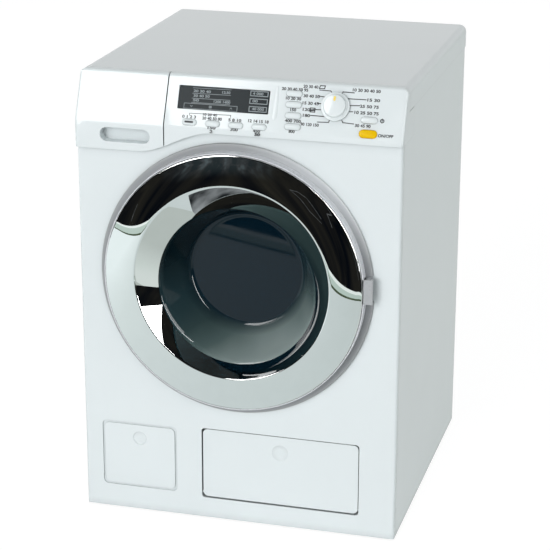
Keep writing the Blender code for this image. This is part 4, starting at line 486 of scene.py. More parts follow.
def glow(name, low, high, scale, stretch=(1.0, 1.0, 1.0), strength=1.0):
    """Light with streaks between two colours."""
    finish, tree = new_glow(name)
    shine(tree, streaks(tree, low, high, scale, stretch), strength)
    return finish


def glow_across(name, start, end, colours, strength=1.0, axis="X"):
    """Light that changes evenly from one place on an axis to another through a row of colours."""
    finish, tree = new_glow(name)
    split = add_node(tree, "ShaderNodeSeparateXYZ", {"Vector": own_place(tree)})
    stops = [(index / (len(colours) - 1), colour) for index, colour in enumerate(colours)]
    shine(tree, colour_ramp(tree, in_range(tree, split[axis], start, end), stops), strength)
    return finish


# The ranges of noises and streaks, the samples of soft edges and of the painted shade in hollows,
# and plastic's noises
NOISE_RANGE = (0.3, 0.7)
STREAKS_FROM = 0.42
STREAKS_TO = 0.72
SOFT_SAMPLES = 6
PLASTIC_GRAIN = 700.0
PLASTIC_CLOUDS = PLASTIC_GRAIN / 30
# The door's band: where its painted shade starts to grow paler, on the way from its inside to its rim, the
# direction of its painted highlight, and how much of its colour is left by how nearly a point lies in that
# direction
PALE_FROM = 0.55
LIT_TURN = radians(50.0)
LIT_MOST = 1.45
LIT_SHARES = ((0.0, 0.86), (0.60, 0.68), (0.80, 0.78), (0.90, 1.05), (0.97, 1.32), (1.0, 1.45))
# Painted shade in hollows: how much of a colour is left, by how open a point is within a reach
HOLLOW_REACH = 0.006
HOLLOW_SHARES = ((0.0, 0.10), (0.30, 0.76), (1.0, 1.0))
# The window's wall colours, a painted reflection that runs from the lower right to the upper left, and its
# end's colour
SMOKE_TURN = radians(28.0)
SMOKE_LOW = 0.1005
SMOKE_HIGH = 0.187
SMOKE_DRIFT = 0.026
SMOKE_CLEAR = 0.03
SMOKE_WALL_PAINTED_REFLECTION = ((0.0, (0.26, 0.315, 0.31)), (0.07, (0.200, 0.255, 0.250)), (0.17, (0.095, 0.140, 0.138)),
              (0.30, (0.040, 0.070, 0.073)), (0.50, (0.022, 0.048, 0.057)), (0.85, (0.004, 0.012, 0.016)))
SMOKE_END = (0.002, 0.011, 0.020)


def make_finishes():
    return {
        # the white plastic's colour gets painted shade in its hollows
        "white": plastic("white_plastic", (0.80, 0.855, 0.87), 0.11, edge=0.0002, gloss=0.35, hollows=True),
        "inner": plastic("inner_plastic", (0.70, 0.72, 0.71), 0.45),
        # the silver band's darker inner colour is painted shade, and its lit part is a painted highlight
        "silver": satin_with_painted_light("silver_lacquer_painted_light", (0.36, 0.375, 0.39), (0.46, 0.475, 0.485), 0.40),
        "collar": plastic("collar_lilac", (0.74, 0.755, 0.79), 0.30, edge=0.0),
        "light_grey": plastic("light_grey_plastic", (0.44, 0.455, 0.47), 0.30),
        "dark": plastic("dark_plastic", (0.018, 0.019, 0.022), 0.25),
        "orange": plastic("orange_plastic", (0.86, 0.53, 0.0), 0.28, gloss=0.1),
        "yellow": plastic("pointer_yellow", (0.88, 0.66, 0.10), 0.4, edge=0.0),
        "chrome": plated("chrome_plating", (0.90, 0.91, 0.90), 0.012),
        "steel": brushed("bright_steel", (0.56, 0.57, 0.58), 0.30),
        "drum": brushed("drum_grey", (0.50, 0.51, 0.53), 0.34),
        # the window's wall colours are painted reflection
        "smoke": smoked("smoked_window", SMOKE_WALL_PAINTED_REFLECTION, SMOKE_END, 0.04),
        "rubber": plastic("black_rubber", (0.05, 0.05, 0.055), 0.75, height=0.00002),
        "pale_rubber": plastic("pale_rubber", (0.36, 0.37, 0.38), 0.65, height=0.00001),
        "green": plastic("board_green", (0.03, 0.20, 0.08), 0.35),
        "gear": plastic("gear_plastic", (0.72, 0.70, 0.62), 0.45),
        "ink": printed("grey_ink", (0.010, 0.012, 0.015)),
        "screen_ink": printed("screen_ink", (0.21, 0.245, 0.26)),
        "screen": plastic("screen_grey", (0.022, 0.028, 0.031), 0.22, edge=0.0, gloss=0.075),
    }


# Pieces carried over from the CAD part, with softened edges

CARRIED = {
    "white": ("front_panel", "cabinet", "top_cover", "rear_cover", "control_fascia", "drawer_front",
              "battery_cover", "service_flap"),
    "inner": ("drawer_tray", "drawer_housing", "window_retainer", "door_hook", "door_catch", "tub",
              "motor_bracket", "service_pocket"),
    "light_grey": ("hinge_bracket", "hinge_arm", "knob_shaft"),
    "dark": ("rotary_switch", "battery_box", "loudspeaker"),
    "steel": ("rear_screw_low_left", "rear_screw_low_right", "rear_screw_high_left",
              "rear_screw_high_right", "battery_screw", "hinge_pin", "drum_shaft", "gear_axle", "motor",
              "motor_shaft"),
    "rubber": ("foot_front_left", "foot_front_right", "foot_rear_left", "foot_rear_right"),
    "pale_rubber": ("key_mat", "door_seal"),
    "green": ("circuit_board",),
    "gear": ("shaft_bush", "drum_gear", "reduction_gear", "motor_pinion"),
    "drum": ("drum",),
}


def carry_over(finishes):
    for key, names in CARRIED.items():
        for name in names:
            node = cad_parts[name]
            mesh = node.data
            mesh.materials.clear()
            mesh.materials.append(finishes[key])
            if "custom_normal" in mesh.attributes:
                mesh.attributes.remove(mesh.attributes["custom_normal"])
            for polygon in mesh.polygons:
                polygon.use_smooth = True
            weld = node.modifiers.new("weld", "WELD")
            weld.merge_threshold = MERGE
            split = node.modifiers.new("sharp_edges", "EDGE_SPLIT")
            split.split_angle = SMOOTH_TURN
            level = node.modifiers.new("flat_faces", "WEIGHTED_NORMAL")
            level.weight = FLAT_FACE_WEIGHT


# Door

RING_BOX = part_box("door_ring")
DOOR_CENTRE = ((RING_BOX[0].x + RING_BOX[1].x) / 2, (RING_BOX[0].z + RING_BOX[1].z) / 2)
RING_RADIUS = (RING_BOX[1].x - RING_BOX[0].x) / 2
RING_FACE_Y = RING_BOX[0].y
BAND_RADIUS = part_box("door_frame")[1].z - DOOR_CENTRE[1]
RING_RIM_Y = RING_FACE_Y + RING_RIM_DROP
FUNNEL_END_Y = RING_FACE_Y + FUNNEL_REACH


def bowed(start, end, bow, steps):
    """Points between two rows, which swell towards the front by the given bow."""
    rows = []
    for step in range(steps + 1):
        share = step / steps
        row = Vector(start) * (1 - share) + Vector(end) * share
        row.y -= bow * 4 * share * (1 - share)
        rows.append(row)
    return rows


def add_ring(finishes):
    back = RING_BOX[1].y
    rim_radius = RING_RADIUS - RING_RIM_INSET
    inside = RING_RADIUS - RING_WALL
    face = (RING_FACE_RADIUS, RING_FACE_Y, RING_FACE_LIFT)
    mouth = (FUNNEL_RADIUS, FUNNEL_END_Y, -FUNNEL_DROP)
    crown = bowed((rim_radius, RING_RIM_Y, 0.0), face, RING_CROWN, CAP_STEPS)
    funnel = bowed(face, mouth, FUNNEL_BOW, CAP_STEPS)
    outer = [(RING_RADIUS, back, 0.0), (RING_RADIUS, RING_RIM_Y, 0.0), crown[1]]
    rows = rounded_rows(outer, RING_EDGE_ROUND, ring=False)[:-1] + crown[1:-1]
    rows += rounded_rows([crown[-2], face, funnel[1]], RING_EDGE_ROUND, ring=False)[1:-1] + funnel[1:]
    rows += [Vector(row) for row in (
        (FUNNEL_RADIUS + RING_WALL, FUNNEL_END_Y, -FUNNEL_DROP),
        (RING_FACE_RADIUS + RING_WALL / 2, RING_FACE_Y + RING_WALL, RING_FACE_LIFT),
        (inside, RING_RIM_Y + RING_WALL, 0.0), (inside, back, 0.0))]
    ring = turned("door_ring_plated", rows, finishes["chrome"], RING_SIDES, DOOR_CENTRE)
    stand_for(ring, "door_ring", "door")


def paint_inside(piece, reach, finish):
    """Gives a finish to the faces whose corners all lie within a reach of the door's axis."""
    mesh = piece.data
    mesh.materials.append(finish)
    near = [hypot(vertex.co.x - DOOR_CENTRE[0], vertex.co.z - DOOR_CENTRE[1]) < reach
            for vertex in mesh.vertices]
    for polygon in mesh.polygons:
        if all(near[corner] for corner in polygon.vertices):
            polygon.material_index = 1


def add_frame_band(finishes):
    """The collar and flange round the ring, left open where the hinge sits."""
    radius = BAND_RADIUS
    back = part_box("door_frame")[1].y
    inner = RING_RADIUS + COLLAR_GAP
    outer = inner + COLLAR_WALL
    front = RING_RIM_Y + COLLAR_BELOW_RIM
    flange = back - FLANGE_THICKNESS
    foot, lip = (outer, flange, 0.0), (radius, flange + FLANGE_SLOPE, 0.0)
    rows = [Vector(row) for row in ((inner, back, 0.0), (inner, front, 0.0), (outer, front, 0.0))]
    rows += rounded_rows([(outer, front, 0.0), foot, lip], COLLAR_FILLET, ring=False)[1:-1]
    rows += rounded_rows([foot, lip, (radius, back, 0.0)], FLANGE_ROUND, ring=False)[1:]
    arm_low, arm_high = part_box("hinge_arm")
    first = asin((arm_high.z + NOTCH_SPACE - DOOR_CENTRE[1]) / radius)
    last = tau + asin((arm_low.z - NOTCH_SPACE - DOOR_CENTRE[1]) / radius)
    loops = []
    for step in range(RING_SIDES + 1):
        turn = first + (last - first) * step / RING_SIDES
        loops.append([(DOOR_CENTRE[0] + row.x * cos(turn), row.y,
                       DOOR_CENTRE[1] + row.x * sin(turn)) for row in rows])
    band = add_loft("door_frame_band", loops, finishes["silver"])
    paint_inside(band, outer + COLLAR_WALL / 2, finishes["collar"])
    plate_radius = RING_RADIUS - RING_WALL - COLLAR_GAP
    plate_rows = [(plate_radius, back - FRAME_WALL, 0.0), (plate_radius, back, 0.0),
                  (FRAME_HOLE_RADIUS, back, -FRAME_HOLE_DROP),
                  (FRAME_HOLE_RADIUS, back - FRAME_WALL, -FRAME_HOLE_DROP)]
    plate = turned("door_frame_plate", plate_rows, finishes["silver"], RING_SIDES, DOOR_CENTRE)
    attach(plate, "door")
    stand_for(band, "door_frame", "door")


def add_bowl(finishes):
    """The window: a flange, a cone that leads in and a domed end."""
    low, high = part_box("window_bowl")
    rim = FUNNEL_END_Y + BOWL_RIM_GAP
    end = high.y - BOWL_WALL
    flange = (high.x - low.x) / 2
    tip = BOWL_TIP_RADIUS
    dome = []
    for step in range(CAP_STEPS + 1):
        share = step / CAP_STEPS * (1 - BOWL_END_ROUND / BOWL_END_RADIUS)
        dome.append((tip + BOWL_END_RADIUS * share, end - BOWL_END_DOME * (1 - share ** 2), -BOWL_END_DROP))
    inner = [dome[-1], (BOWL_END_RADIUS, end, -BOWL_END_DROP), (BOWL_RIM_RADIUS, rim, -FUNNEL_DROP),
             (flange, rim, -FUNNEL_DROP)]
    outer = [(flange, rim + BOWL_WALL, -FUNNEL_DROP),
             (BOWL_RIM_RADIUS + BOWL_WALL, rim + BOWL_WALL, -FUNNEL_DROP),
             (BOWL_END_RADIUS + BOWL_WALL, end, -BOWL_END_DROP), (BOWL_END_RADIUS, high.y, -BOWL_END_DROP),
             (tip, high.y - BOWL_END_DOME, -BOWL_END_DROP)]
    rows = [Vector(row) for row in dome[:-1]]
    rows += rounded_rows(inner, BOWL_END_ROUND, CAP_STEPS, ring=False) + [Vector(row) for row in outer]
    bowl = turned("window_bowl_smoked", rows, finishes["smoke"], RING_SIDES, DOOR_CENTRE, ring=False)
    stand_for(bowl, "window_bowl", "door")


# Knob, buttons and display

BUTTONS = ("start_button", "temperature_button", "spin_button", "extra_button", "option_button_1",
           "option_button_2", "option_button_3", "option_button_4", "power_button", "door_button")


def add_button(name, finish):
    low, high = on_slant(name, ABOVE_FACE)
    base = on_slant(name, UNDER_ALL)[0].z
    width = high.x - low.x + BUTTON_GROWTH * 2
    tall = high.y - low.y + BUTTON_GROWTH * 2
    proud = high.z
    levels = [(base, 0.0), (proud - BUTTON_CROWN - BUTTON_SHOULDER, 0.0)]
    for step in range(1, ARC_STEPS + 1):
        turn = pi / 2 * step / ARC_STEPS
        levels.append((proud - BUTTON_CROWN - BUTTON_SHOULDER * (1 - sin(turn)),
                       BUTTON_SHOULDER * (1 - cos(turn))))
    levels.append((proud - BUTTON_CROWN / 4, tall / 4 + BUTTON_SHOULDER / 2))
    levels.append((proud, tall / 2 - BUTTON_RIDGE))
    loops = [[(x, y, out) for x, y in pill(width - inset * 2, tall - inset * 2, *middle_of(low, high))]
             for out, inset in levels]
    button = add_loft(name + "_cap", loops, finish, SLANT)
    stand_for(button, name, name + "_body")


def add_buttons(finishes):
    for name in BUTTONS:
        key = "orange" if name == "door_button" else "white"
        add_button(name, finishes[key])
    low, high = on_slant("start_button", ABOVE_FACE)
    outline = pill(START_BAR_WIDTH, START_BAR_TALL, *middle_of(low, high))
    loops = [[(x, y, high.z + rise) for x, y in outline] for rise in (-START_BAR_SUNK, PRINT_RISE)]
    bar = add_loft("start_button_bar", loops, finishes["ink"], SLANT)
    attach(bar, "start_button_body")


def add_knob(finishes):
    low, high = on_slant("program_knob", 0.0)
    across, up = middle_of(low, high)
    skirt = (high.x - low.x) / 2
    top = high.z
    corners = [(KNOB_TIP_RADIUS, KNOB_LIFT), (skirt, KNOB_LIFT), (skirt, KNOB_SKIRT_HEIGHT),
               (KNOB_CAP_RADIUS + KNOB_TAPER, KNOB_SKIRT_HEIGHT + KNOB_TAPER),
               (KNOB_CAP_RADIUS, top - KNOB_CROWN), (KNOB_TIP_RADIUS, top)]
    turns = [tau * side / SMALL_SIDES for side in range(SMALL_SIDES)]
    loops = [[(across + radius * cos(turn), up + radius * sin(turn), out) for turn in turns]
             for radius, out in rounded_rows(corners, KNOB_EDGE, ring=False)]
    knob = add_loft("program_knob_cap", loops, finishes["white"], SLANT)
    stand_for(knob, "program_knob", "selector")
    middle = up + KNOB_CAP_RADIUS - POINTER_FROM_RIM - POINTER_LENGTH / 2
    outline = pill(POINTER_LENGTH, POINTER_WIDTH, 0.0, 0.0)
    loops = [[(across + y, middle + x, top + rise) for x, y in outline] for rise in POINTER_LEVELS]
    pointer = add_loft("knob_pointer", loops, finishes["yellow"], SLANT)
    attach(pointer, "selector")


def add_display(finishes):
    """The screen; gives back the level of its face."""
    low, high = on_slant("display_window", SCREEN_LEVEL)
    corners = [(low.x, low.y, 0.0), (high.x, low.y, 0.0), (high.x, high.y, 0.0), (low.x, high.y, 0.0)]
    outline = rounded_rows(corners, SCREEN_CORNER)
    loops = [[(point.x, point.y, out) for point in outline] for out in (high.z - SCREEN_BODY, high.z)]
    screen = add_loft("display_screen", loops, finishes["screen"], SLANT)
    stand_for(screen, "display_window", "casing")
    return high.z


# Printed marks

def stroke(points, width, level):
    """Bars along a broken line in the slanted face."""
    vertices, faces = [], []
    for start, end in zip(points, points[1:]):
        way = Vector((end[0] - start[0], end[1] - start[1])).normalized() * width / 2
        side = Vector((-way.y, way.x))
        corners = [Vector(start) - way - side, Vector(end) + way - side,
                   Vector(end) + way + side, Vector(start) - way + side]
        loops = [[(corner.x, corner.y, level + rise) for corner in corners]
                 for rise in (-PRINT_BODY, PRINT_BODY)]
        bar_vertices, bar_faces = loft_parts(loops)
        faces += [tuple(len(vertices) + corner for corner in face) for face in bar_faces]
        vertices += bar_vertices
    return vertices, faces


def lettering(words, size, left, right, up, level):
    """Numbers as a mesh in the slanted face, fitted between a left and a right end."""
    curve = bpy.data.curves.new("numbers", "FONT")
    curve.body = words
    curve.size = size
    curve.align_x = "CENTER"
    curve.align_y = "CENTER"
    curve.extrude = PRINT_BODY
    curve.offset = size * LETTER_WEIGHT
    holder = bpy.data.objects.new("numbers", curve)
    bpy.context.scene.collection.objects.link(holder)
    bpy.context.view_layer.update()
    mesh = bpy.data.meshes.new_from_object(holder.evaluated_get(bpy.context.evaluated_depsgraph_get()))
    bpy.data.objects.remove(holder)
    bpy.data.curves.remove(curve)
    reach = max(vertex.co.x for vertex in mesh.vertices) - min(vertex.co.x for vertex in mesh.vertices)
    stretch = Matrix.Scale((right - left) / reach, 4, (1.0, 0.0, 0.0))
    mesh.transform(Matrix.Translation(((left + right) / 2, up, level)) @ stretch)
    return mesh


def add_print(name, strokes, words, level, finish):
    work = bmesh.new()
    for points, width in strokes:
        vertices, faces = stroke(points, width, level)
        mesh = bpy.data.meshes.new("bars")
        mesh.from_pydata(vertices, [], faces)
        work.from_mesh(mesh)
        bpy.data.meshes.remove(mesh)
    for text, size, left, right, up in words:
        mesh = lettering(text, size, left, right, up, level)
        work.from_mesh(mesh)
        bpy.data.meshes.remove(mesh)
    mesh = bpy.data.meshes.new(name)
    work.to_mesh(mesh)
    work.free()
    mesh.transform(SLANT)
    piece = finish_mesh(name, mesh, finish)
    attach(piece, "casing")


# Lines from the dial to its numbers, as x and the way up the slope
DIAL_LINES = (
    ((0.0444, 0.0248), (0.0504, 0.0247), (0.0514, 0.0235)),
    ((0.0442, 0.0215), (0.0479, 0.0212)),
    ((0.0441, 0.0175), (0.0465, 0.0175)),
    ((0.0432, 0.0141), (0.0463, 0.0142)),
    ((0.0409, 0.0108), (0.0482, 0.0107)),
    ((0.0450, 0.0075), (0.0510, 0.0077), (0.0515, 0.0090)),
    ((0.0633, 0.0245), (0.0572, 0.0246), (0.0567, 0.0236)),
    ((0.0701, 0.0212), (0.0602, 0.0211)),
    ((0.0669, 0.0178), (0.0616, 0.0175)),
    ((0.0636, 0.0143), (0.0618, 0.0142)),
    ((0.0647, 0.0078), (0.0588, 0.0081), (0.0582, 0.0092)),
)
# Labels: numbers, size of the figures, left and right end, and the way up the slope
LETTER_WEIGHT = 0.034
BIG = 0.0022
SMALL = 0.0019
FASCIA_LABELS = (
    ("20 30 40 50 95", BIG, 0.0235, 0.0381, 0.0242), ("10 20 30", BIG, 0.0260, 0.0345, 0.0192),
    ("150", BIG, 0.0291, 0.0324, 0.0131), ("400 700", BIG, 0.0270, 0.0359, 0.0070),
    ("800", BIG, 0.0297, 0.0331, 0.0013),
    ("20 30 40", BIG, 0.0352, 0.0434, 0.0262), ("30 40 50", BIG, 0.0358, 0.0447, 0.0211),
    ("15 30 45", BIG, 0.0355, 0.0444, 0.0172), ("120", BIG, 0.0359, 0.0400, 0.0137),
    ("180", BIG, 0.0363, 0.0403, 0.0105), ("90 120 150", BIG, 0.0358, 0.0459, 0.0057),
    ("10 20 30 40 50", BIG, 0.0621, 0.0773, 0.0260), ("15 30", BIG, 0.0705, 0.0774, 0.0211),
    ("25 50 75", BIG, 0.0671, 0.0774, 0.0175), ("10 25 50 75", BIG, 0.0643, 0.0775, 0.0140),
    ("30 45 90", BIG, 0.0655, 0.0740, 0.0070),
    ("0 1 2 3", BIG, -0.0305, -0.0226, 0.0054), ("10 20 40", SMALL, -0.0191, -0.0111, 0.0072),
    ("20 40 50 80", BIG, -0.0191, -0.0080, 0.0052), ("5 8 10", BIG, -0.0044, 0.0029, 0.0052),
    ("12 14 15 18", BIG, 0.0065, 0.0180, 0.0055),
    ("150", BIG, -0.0158, -0.0113, 0.0002), ("2", BIG, -0.0142, -0.0126, -0.0019),
    ("300", BIG, -0.0027, 0.0015, 0.0001), ("450", BIG, 0.0099, 0.0141, 0.0002),
    ("50", BIG, 0.0110, 0.0141, -0.0017), ("ON/OFF", BIG, 0.0785, 0.0868, 0.0024),
)
# The bracket over two keys, the basket and the cloth with its fold beside the dial, and the mains sign,
# whose circle is drawn in steps with some left out at its top
BRACKET_LINE = ((-0.0265, 0.0063), (-0.0265, 0.0074), (-0.0033, 0.0078), (-0.0033, 0.0067))
BASKET = ((0.0440, 0.0256), (0.0445, 0.0272), (0.0472, 0.0272), (0.0469, 0.0257), (0.0440, 0.0256))
CLOTH = ((0.0403, 0.0127), (0.0403, 0.0148), (0.0429, 0.0148), (0.0429, 0.0127), (0.0403, 0.0127))
CLOTH_FOLD = ((0.0409, 0.0136), (0.0423, 0.0138))
MAINS_SIGN = (0.0800, 0.0104)
MAINS_SIGN_RADIUS = 0.0009
MAINS_SIGN_BAR = 0.00108
MAINS_SIGN_STEPS = 24
MAINS_SIGN_GAP = 2
FINE_LINE = 0.00028


def add_fascia_print(finishes):
    strokes = [(line, LINE_WIDTH) for line in DIAL_LINES]
    strokes += [(BRACKET_LINE, FINE_LINE), (BASKET, LINE_WIDTH), (CLOTH, LINE_WIDTH),
                (CLOTH_FOLD, LINE_WIDTH * 2)]
    across, up = MAINS_SIGN
    turns = [tau * step / MAINS_SIGN_STEPS + pi / 2
             for step in range(MAINS_SIGN_GAP, MAINS_SIGN_STEPS - MAINS_SIGN_GAP + 1)]
    circle = [(across + MAINS_SIGN_RADIUS * cos(turn), up + MAINS_SIGN_RADIUS * sin(turn))
              for turn in turns]
    strokes += [(circle, LINE_WIDTH), ((MAINS_SIGN, (across, up + MAINS_SIGN_BAR)), LINE_WIDTH)]
    add_print("fascia_marks", strokes, FASCIA_LABELS, PRINT_RISE, finishes["ink"])


# The screen's labels, its lines and frame, its three fields, and two arrows
SCREEN_LABELS = (
    ("20 30 40", SMALL, -0.0258, -0.0160, 0.0198), ("12:30", SMALL, -0.0098, -0.0052, 0.0200),
    ("30 40 50", SMALL, -0.0256, -0.0164, 0.0172), ("50", SMALL, -0.0256, -0.0222, 0.0147),
    ("1200 1400", SMALL, -0.0140, -0.0046, 0.0147), ("00", SMALL, -0.0162, -0.0146, 0.0115),
    ("4 000", SMALL, 0.0076, 0.0135, 0.0205), ("00", SMALL, 0.0078, 0.0108, 0.0164),
    ("40 000", SMALL, 0.0080, 0.0148, 0.0121),
)
SCREEN_LINES = (
    ((-0.0262, 0.0215), (-0.0047, 0.0217)), ((-0.0262, 0.0185), (-0.0047, 0.0187)),
    ((-0.0262, 0.0158), (-0.0047, 0.0160)), ((-0.0262, 0.0134), (-0.0047, 0.0136)),
    ((-0.0303, 0.0101), (-0.0003, 0.0101), (-0.0003, 0.0129), (-0.0303, 0.0129), (-0.0303, 0.0101)),
)
FIELD_ENDS = (0.0064, 0.0161)
FIELD_LOWS = (0.0193, 0.0151, 0.0108)
FIELD_TALL = 0.0026
ARROWS = (((-0.0267, 0.0118), (-0.0261, 0.0111), (-0.0255, 0.0118)),
          ((-0.0043, 0.0112), (-0.0037, 0.0119), (-0.0031, 0.0112)))


def add_display_print(finishes, level):
    strokes = [(line, FINE_LINE) for line in SCREEN_LINES]
    left, right = FIELD_ENDS
    for low in FIELD_LOWS:
        high = low + FIELD_TALL
        strokes.append((((left, low), (right, low), (right, high), (left, high), (left, low)), LINE_WIDTH))
    strokes += [(arrow, FINE_LINE) for arrow in ARROWS]
    add_print("display_marks", strokes, SCREEN_LABELS, level + PRINT_RISE, finishes["screen_ink"])


def add_rib(finishes):
    """The low rounded rib between the display and the keys."""
    loops = []
    for step in range(CAP_STEPS + 1):
        share = step / CAP_STEPS
        across = RIB_LOW[0] * (1 - share) + RIB_HIGH[0] * share
        up = RIB_LOW[1] * (1 - share) + RIB_HIGH[1] * share
        fade = max(sqrt(1 - (2 * share - 1) ** RIB_BLUNTNESS), RIB_END_SHARE)
        half = (RIB_LOW_WIDTH * (1 - share) + RIB_HIGH_WIDTH * share) / 2 * fade
        loop = []
        for side in range(CAP_STEPS + 1):
            turn = pi * side / CAP_STEPS
            loop.append((across + half * cos(turn), up, RIB_RISE * fade * sin(turn) ** 2))
        loops.append(loop + [(across - half, up, -RIB_RISE), (across + half, up, -RIB_RISE)])
    rib = add_loft("fascia_rib", loops, finishes["white"], SLANT)
    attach(rib, "casing")


# Studio

def add_mirrored(name, vertices, faces, finish):
    """A part of the studio that only reflections see."""
    piece = add_mesh(name, vertices, faces, finish)
    piece.visible_camera = False
    piece.visible_diffuse = False
    piece.visible_shadow = False
    piece.visible_transmission = False
    piece.visible_volume_scatter = False


def add_card(name, corners, finish):
    add_mirrored(name, corners, [tuple(range(len(corners)))], finish)


# The dark room that reflections see, and the paler patch on its wall
DOME_RADIUS = 2.2
DOME_STEPS = 24
DOME_REACH = pi * 0.56
HAZE_CENTRE = (-0.68, -1.98, 0.62)
HAZE_REACH = 0.60
HAZE_COLOURS = ((0.38, (0.020, 0.028, 0.031)), (0.50, (0.040, 0.045, 0.048)), (0.68, (0.085, 0.110, 0.120)))


def room_light():
    """The light of a dark room's wall, with a paler patch that has streaks of its own."""
    finish, tree = new_glow("studio_dark")
    dark = streaks(tree, (0.002, 0.003, 0.005), (0.020, 0.019, 0.015), scale=1.6, stretch=(3.0, 3.0, 0.25))
    away = with_vectors(tree, "DISTANCE", own_place(tree), HAZE_CENTRE, gives="Value")
    fade = in_range(tree, away, HAZE_REACH, HAZE_REACH / 4, way="SMOOTHSTEP")
    haze = colour_ramp(tree, add_noise(tree, scale=5.0, detail=4.0, stretch=(2.4, 2.4, 0.4)), HAZE_COLOURS)
    shine(tree, mix_colours(tree, fade, dark, haze))
    return finish


def add_dome():
    """A dark room round the machine, open at the back."""
    loops = []
    for step in range(DOME_STEPS + 1):
        lean = DOME_REACH * step / DOME_STEPS
        turns = [tau * side / (DOME_STEPS * 2) for side in range(DOME_STEPS * 2)]
        loops.append([(DOME_RADIUS * sin(lean) * cos(turn), -DOME_RADIUS * cos(lean),
                       DOME_RADIUS * sin(lean) * sin(turn)) for turn in turns])
    vertices, faces = loft_parts(loops, capped=False)
    add_mirrored("studio_dark", vertices, faces, room_light())


# Thin pale lines in the dark room, as x and z on a sphere just inside it
WIRES = (
    ((-0.11, 0.24), (-0.05, 0.15), (-0.03, 0.01), (0.07, -0.04)),
    ((-0.11, 0.24), (-0.02, 0.28), (0.06, 0.25), (0.08, 0.17), (0.11, 0.03)),
    ((0.34, 0.34), (0.29, 0.22), (0.26, 0.02)),
    ((0.49, -0.01), (0.49, -0.22), (0.50, -0.39)),
    ((-1.23, 0.04), (-1.22, -0.05), (-1.20, -0.14)),
)
WIRE_RADIUS = 2.1
WIRE_WIDTH = 0.011


def on_wall(across, up):
    return Vector((across, -sqrt(WIRE_RADIUS ** 2 - across ** 2 - up ** 2), up))


def add_wires():
    """Thin things that the ring mirrors of the room."""
    vertices, faces = [], []
    for line in WIRES:
        points = [on_wall(*point) for point in line]
        for start, end in zip(points, points[1:]):
            side = (end - start).normalized().cross(start.normalized()) * WIRE_WIDTH / 2
            faces.append(tuple(range(len(vertices), len(vertices) + 4)))
            vertices += [start + side, end + side, end - side, start - side]
    add_mirrored("studio_wires", vertices, faces,
                 glow("studio_wire", (0.05, 0.055, 0.06), (0.13, 0.135, 0.14), scale=30.0))


FLOOR_HALF = 6.0
FLOOR_COLOUR = (0.86, 0.86, 0.86)
FLOOR_GLOW = 1.15
FLOOR_GLOW_SHARE = 0.80


def add_floor():
    """The white ground, which also shines a little where the camera sees it."""
    finish, tree, shader = new_finish("floor_white")
    grain = add_noise(tree, scale=30.0, detail=2.0)
    set_inputs(tree, shader, {"Base Color": tint(tree, grain, FLOOR_COLOUR, swing=0.005),
                              "Roughness": spread(tree, grain, low=0.7, high=0.8),
                              "Specular IOR Level": 0.1})
    light = add_node(tree, "ShaderNodeEmission", {"Strength": FLOOR_GLOW})
    path = tree.nodes.new("ShaderNodeLightPath").outputs
    share = with_numbers(tree, "MULTIPLY", path["Is Camera Ray"], FLOOR_GLOW_SHARE)
    mix = {"Fac": share, 1: shader.outputs["BSDF"], 2: light["Emission"]}
    set_inputs(tree, tree.nodes["Material Output"],
               {"Surface": add_node(tree, "ShaderNodeMixShader", mix)["Shader"]})
    half = FLOOR_HALF
    corners = [(-half, -half, 0.0), (half, -half, 0.0), (half, half, 0.0), (-half, half, 0.0)]
    floor = add_mesh("floor", corners, [(0, 1, 2, 3)], finish)
    floor.visible_glossy = False


# The pale table that the chrome mirrors, made of cards whose glow stands in for the lit table, with a painted
# highlight along its lip. Colours run from a left to a right end, edges slope across, and corners are x and
# y.
# Cards that lie over each other differ in level.
TABLE_LEFT = -0.40
TABLE_RIGHT = 0.60
TABLE_COLOURS = ((0.86, 0.95, 0.96), (0.70, 0.78, 0.78), (0.61, 0.68, 0.685), (0.56, 0.63, 0.63),
                 (0.50, 0.55, 0.53), (0.47, 0.52, 0.50), (0.45, 0.50, 0.47))
STRIP_COLOURS = ((0.52, 0.63, 0.58), (0.42, 0.53, 0.48))
LIP_PAINTED_HIGHLIGHT_COLOURS = ((0.86, 0.93, 0.91), (0.70, 0.78, 0.75))
# The near and shade cards are painted shadow of the machine on the table, darker close to the machine
NEAR_LEFT = -0.02
NEAR_RIGHT = 0.34
NEAR_PAINTED_SHADOW_COLOURS = ((0.477, 0.53, 0.51), (0.477, 0.53, 0.51), (0.477, 0.53, 0.51), (0.56, 0.62, 0.60),
                (0.61, 0.68, 0.655), (0.655, 0.72, 0.70), (0.67, 0.735, 0.715))
NEAR_CORNERS = ((-0.012, 0.3), (-0.004, -0.112), (0.03, -0.17), (0.10, -0.19), (0.15, -0.24),
                (0.60, -0.25), (0.60, 0.3))
SHADE_CORNERS = ((-0.012, 0.3), (-0.004, -0.112), (-0.016, -0.131), (-0.05, -0.127),
                 (-0.10, -0.135), (-0.60, -0.16), (-0.60, 0.3))
BACK_LEFT = 0.0925
BACK_FRONT = -0.10
TABLE_Z = -0.001
NEAR_LEVEL = 0.0004
BACK_LEVEL = 0.0008
EDGE_SLOPE = 0.42
EDGE_AT_MIDDLE = -0.545
STRIP_SLOPE = 0.46
STRIP_AT_MIDDLE = -0.62
EDGE_LINE = 0.013
LIP_MIDDLE = -0.594
CARD_LEFT = -1.6
CARD_BACK = 0.5


def across_table(slope, middle):
    """The right and the left end of an edge of the table."""
    return [(x, middle + slope * x) for x in (TABLE_RIGHT, CARD_LEFT)]


def flat_card(name, corners, finish, level=0.0):
    add_card(name, [(x, y, TABLE_Z + level) for x, y in corners], finish)


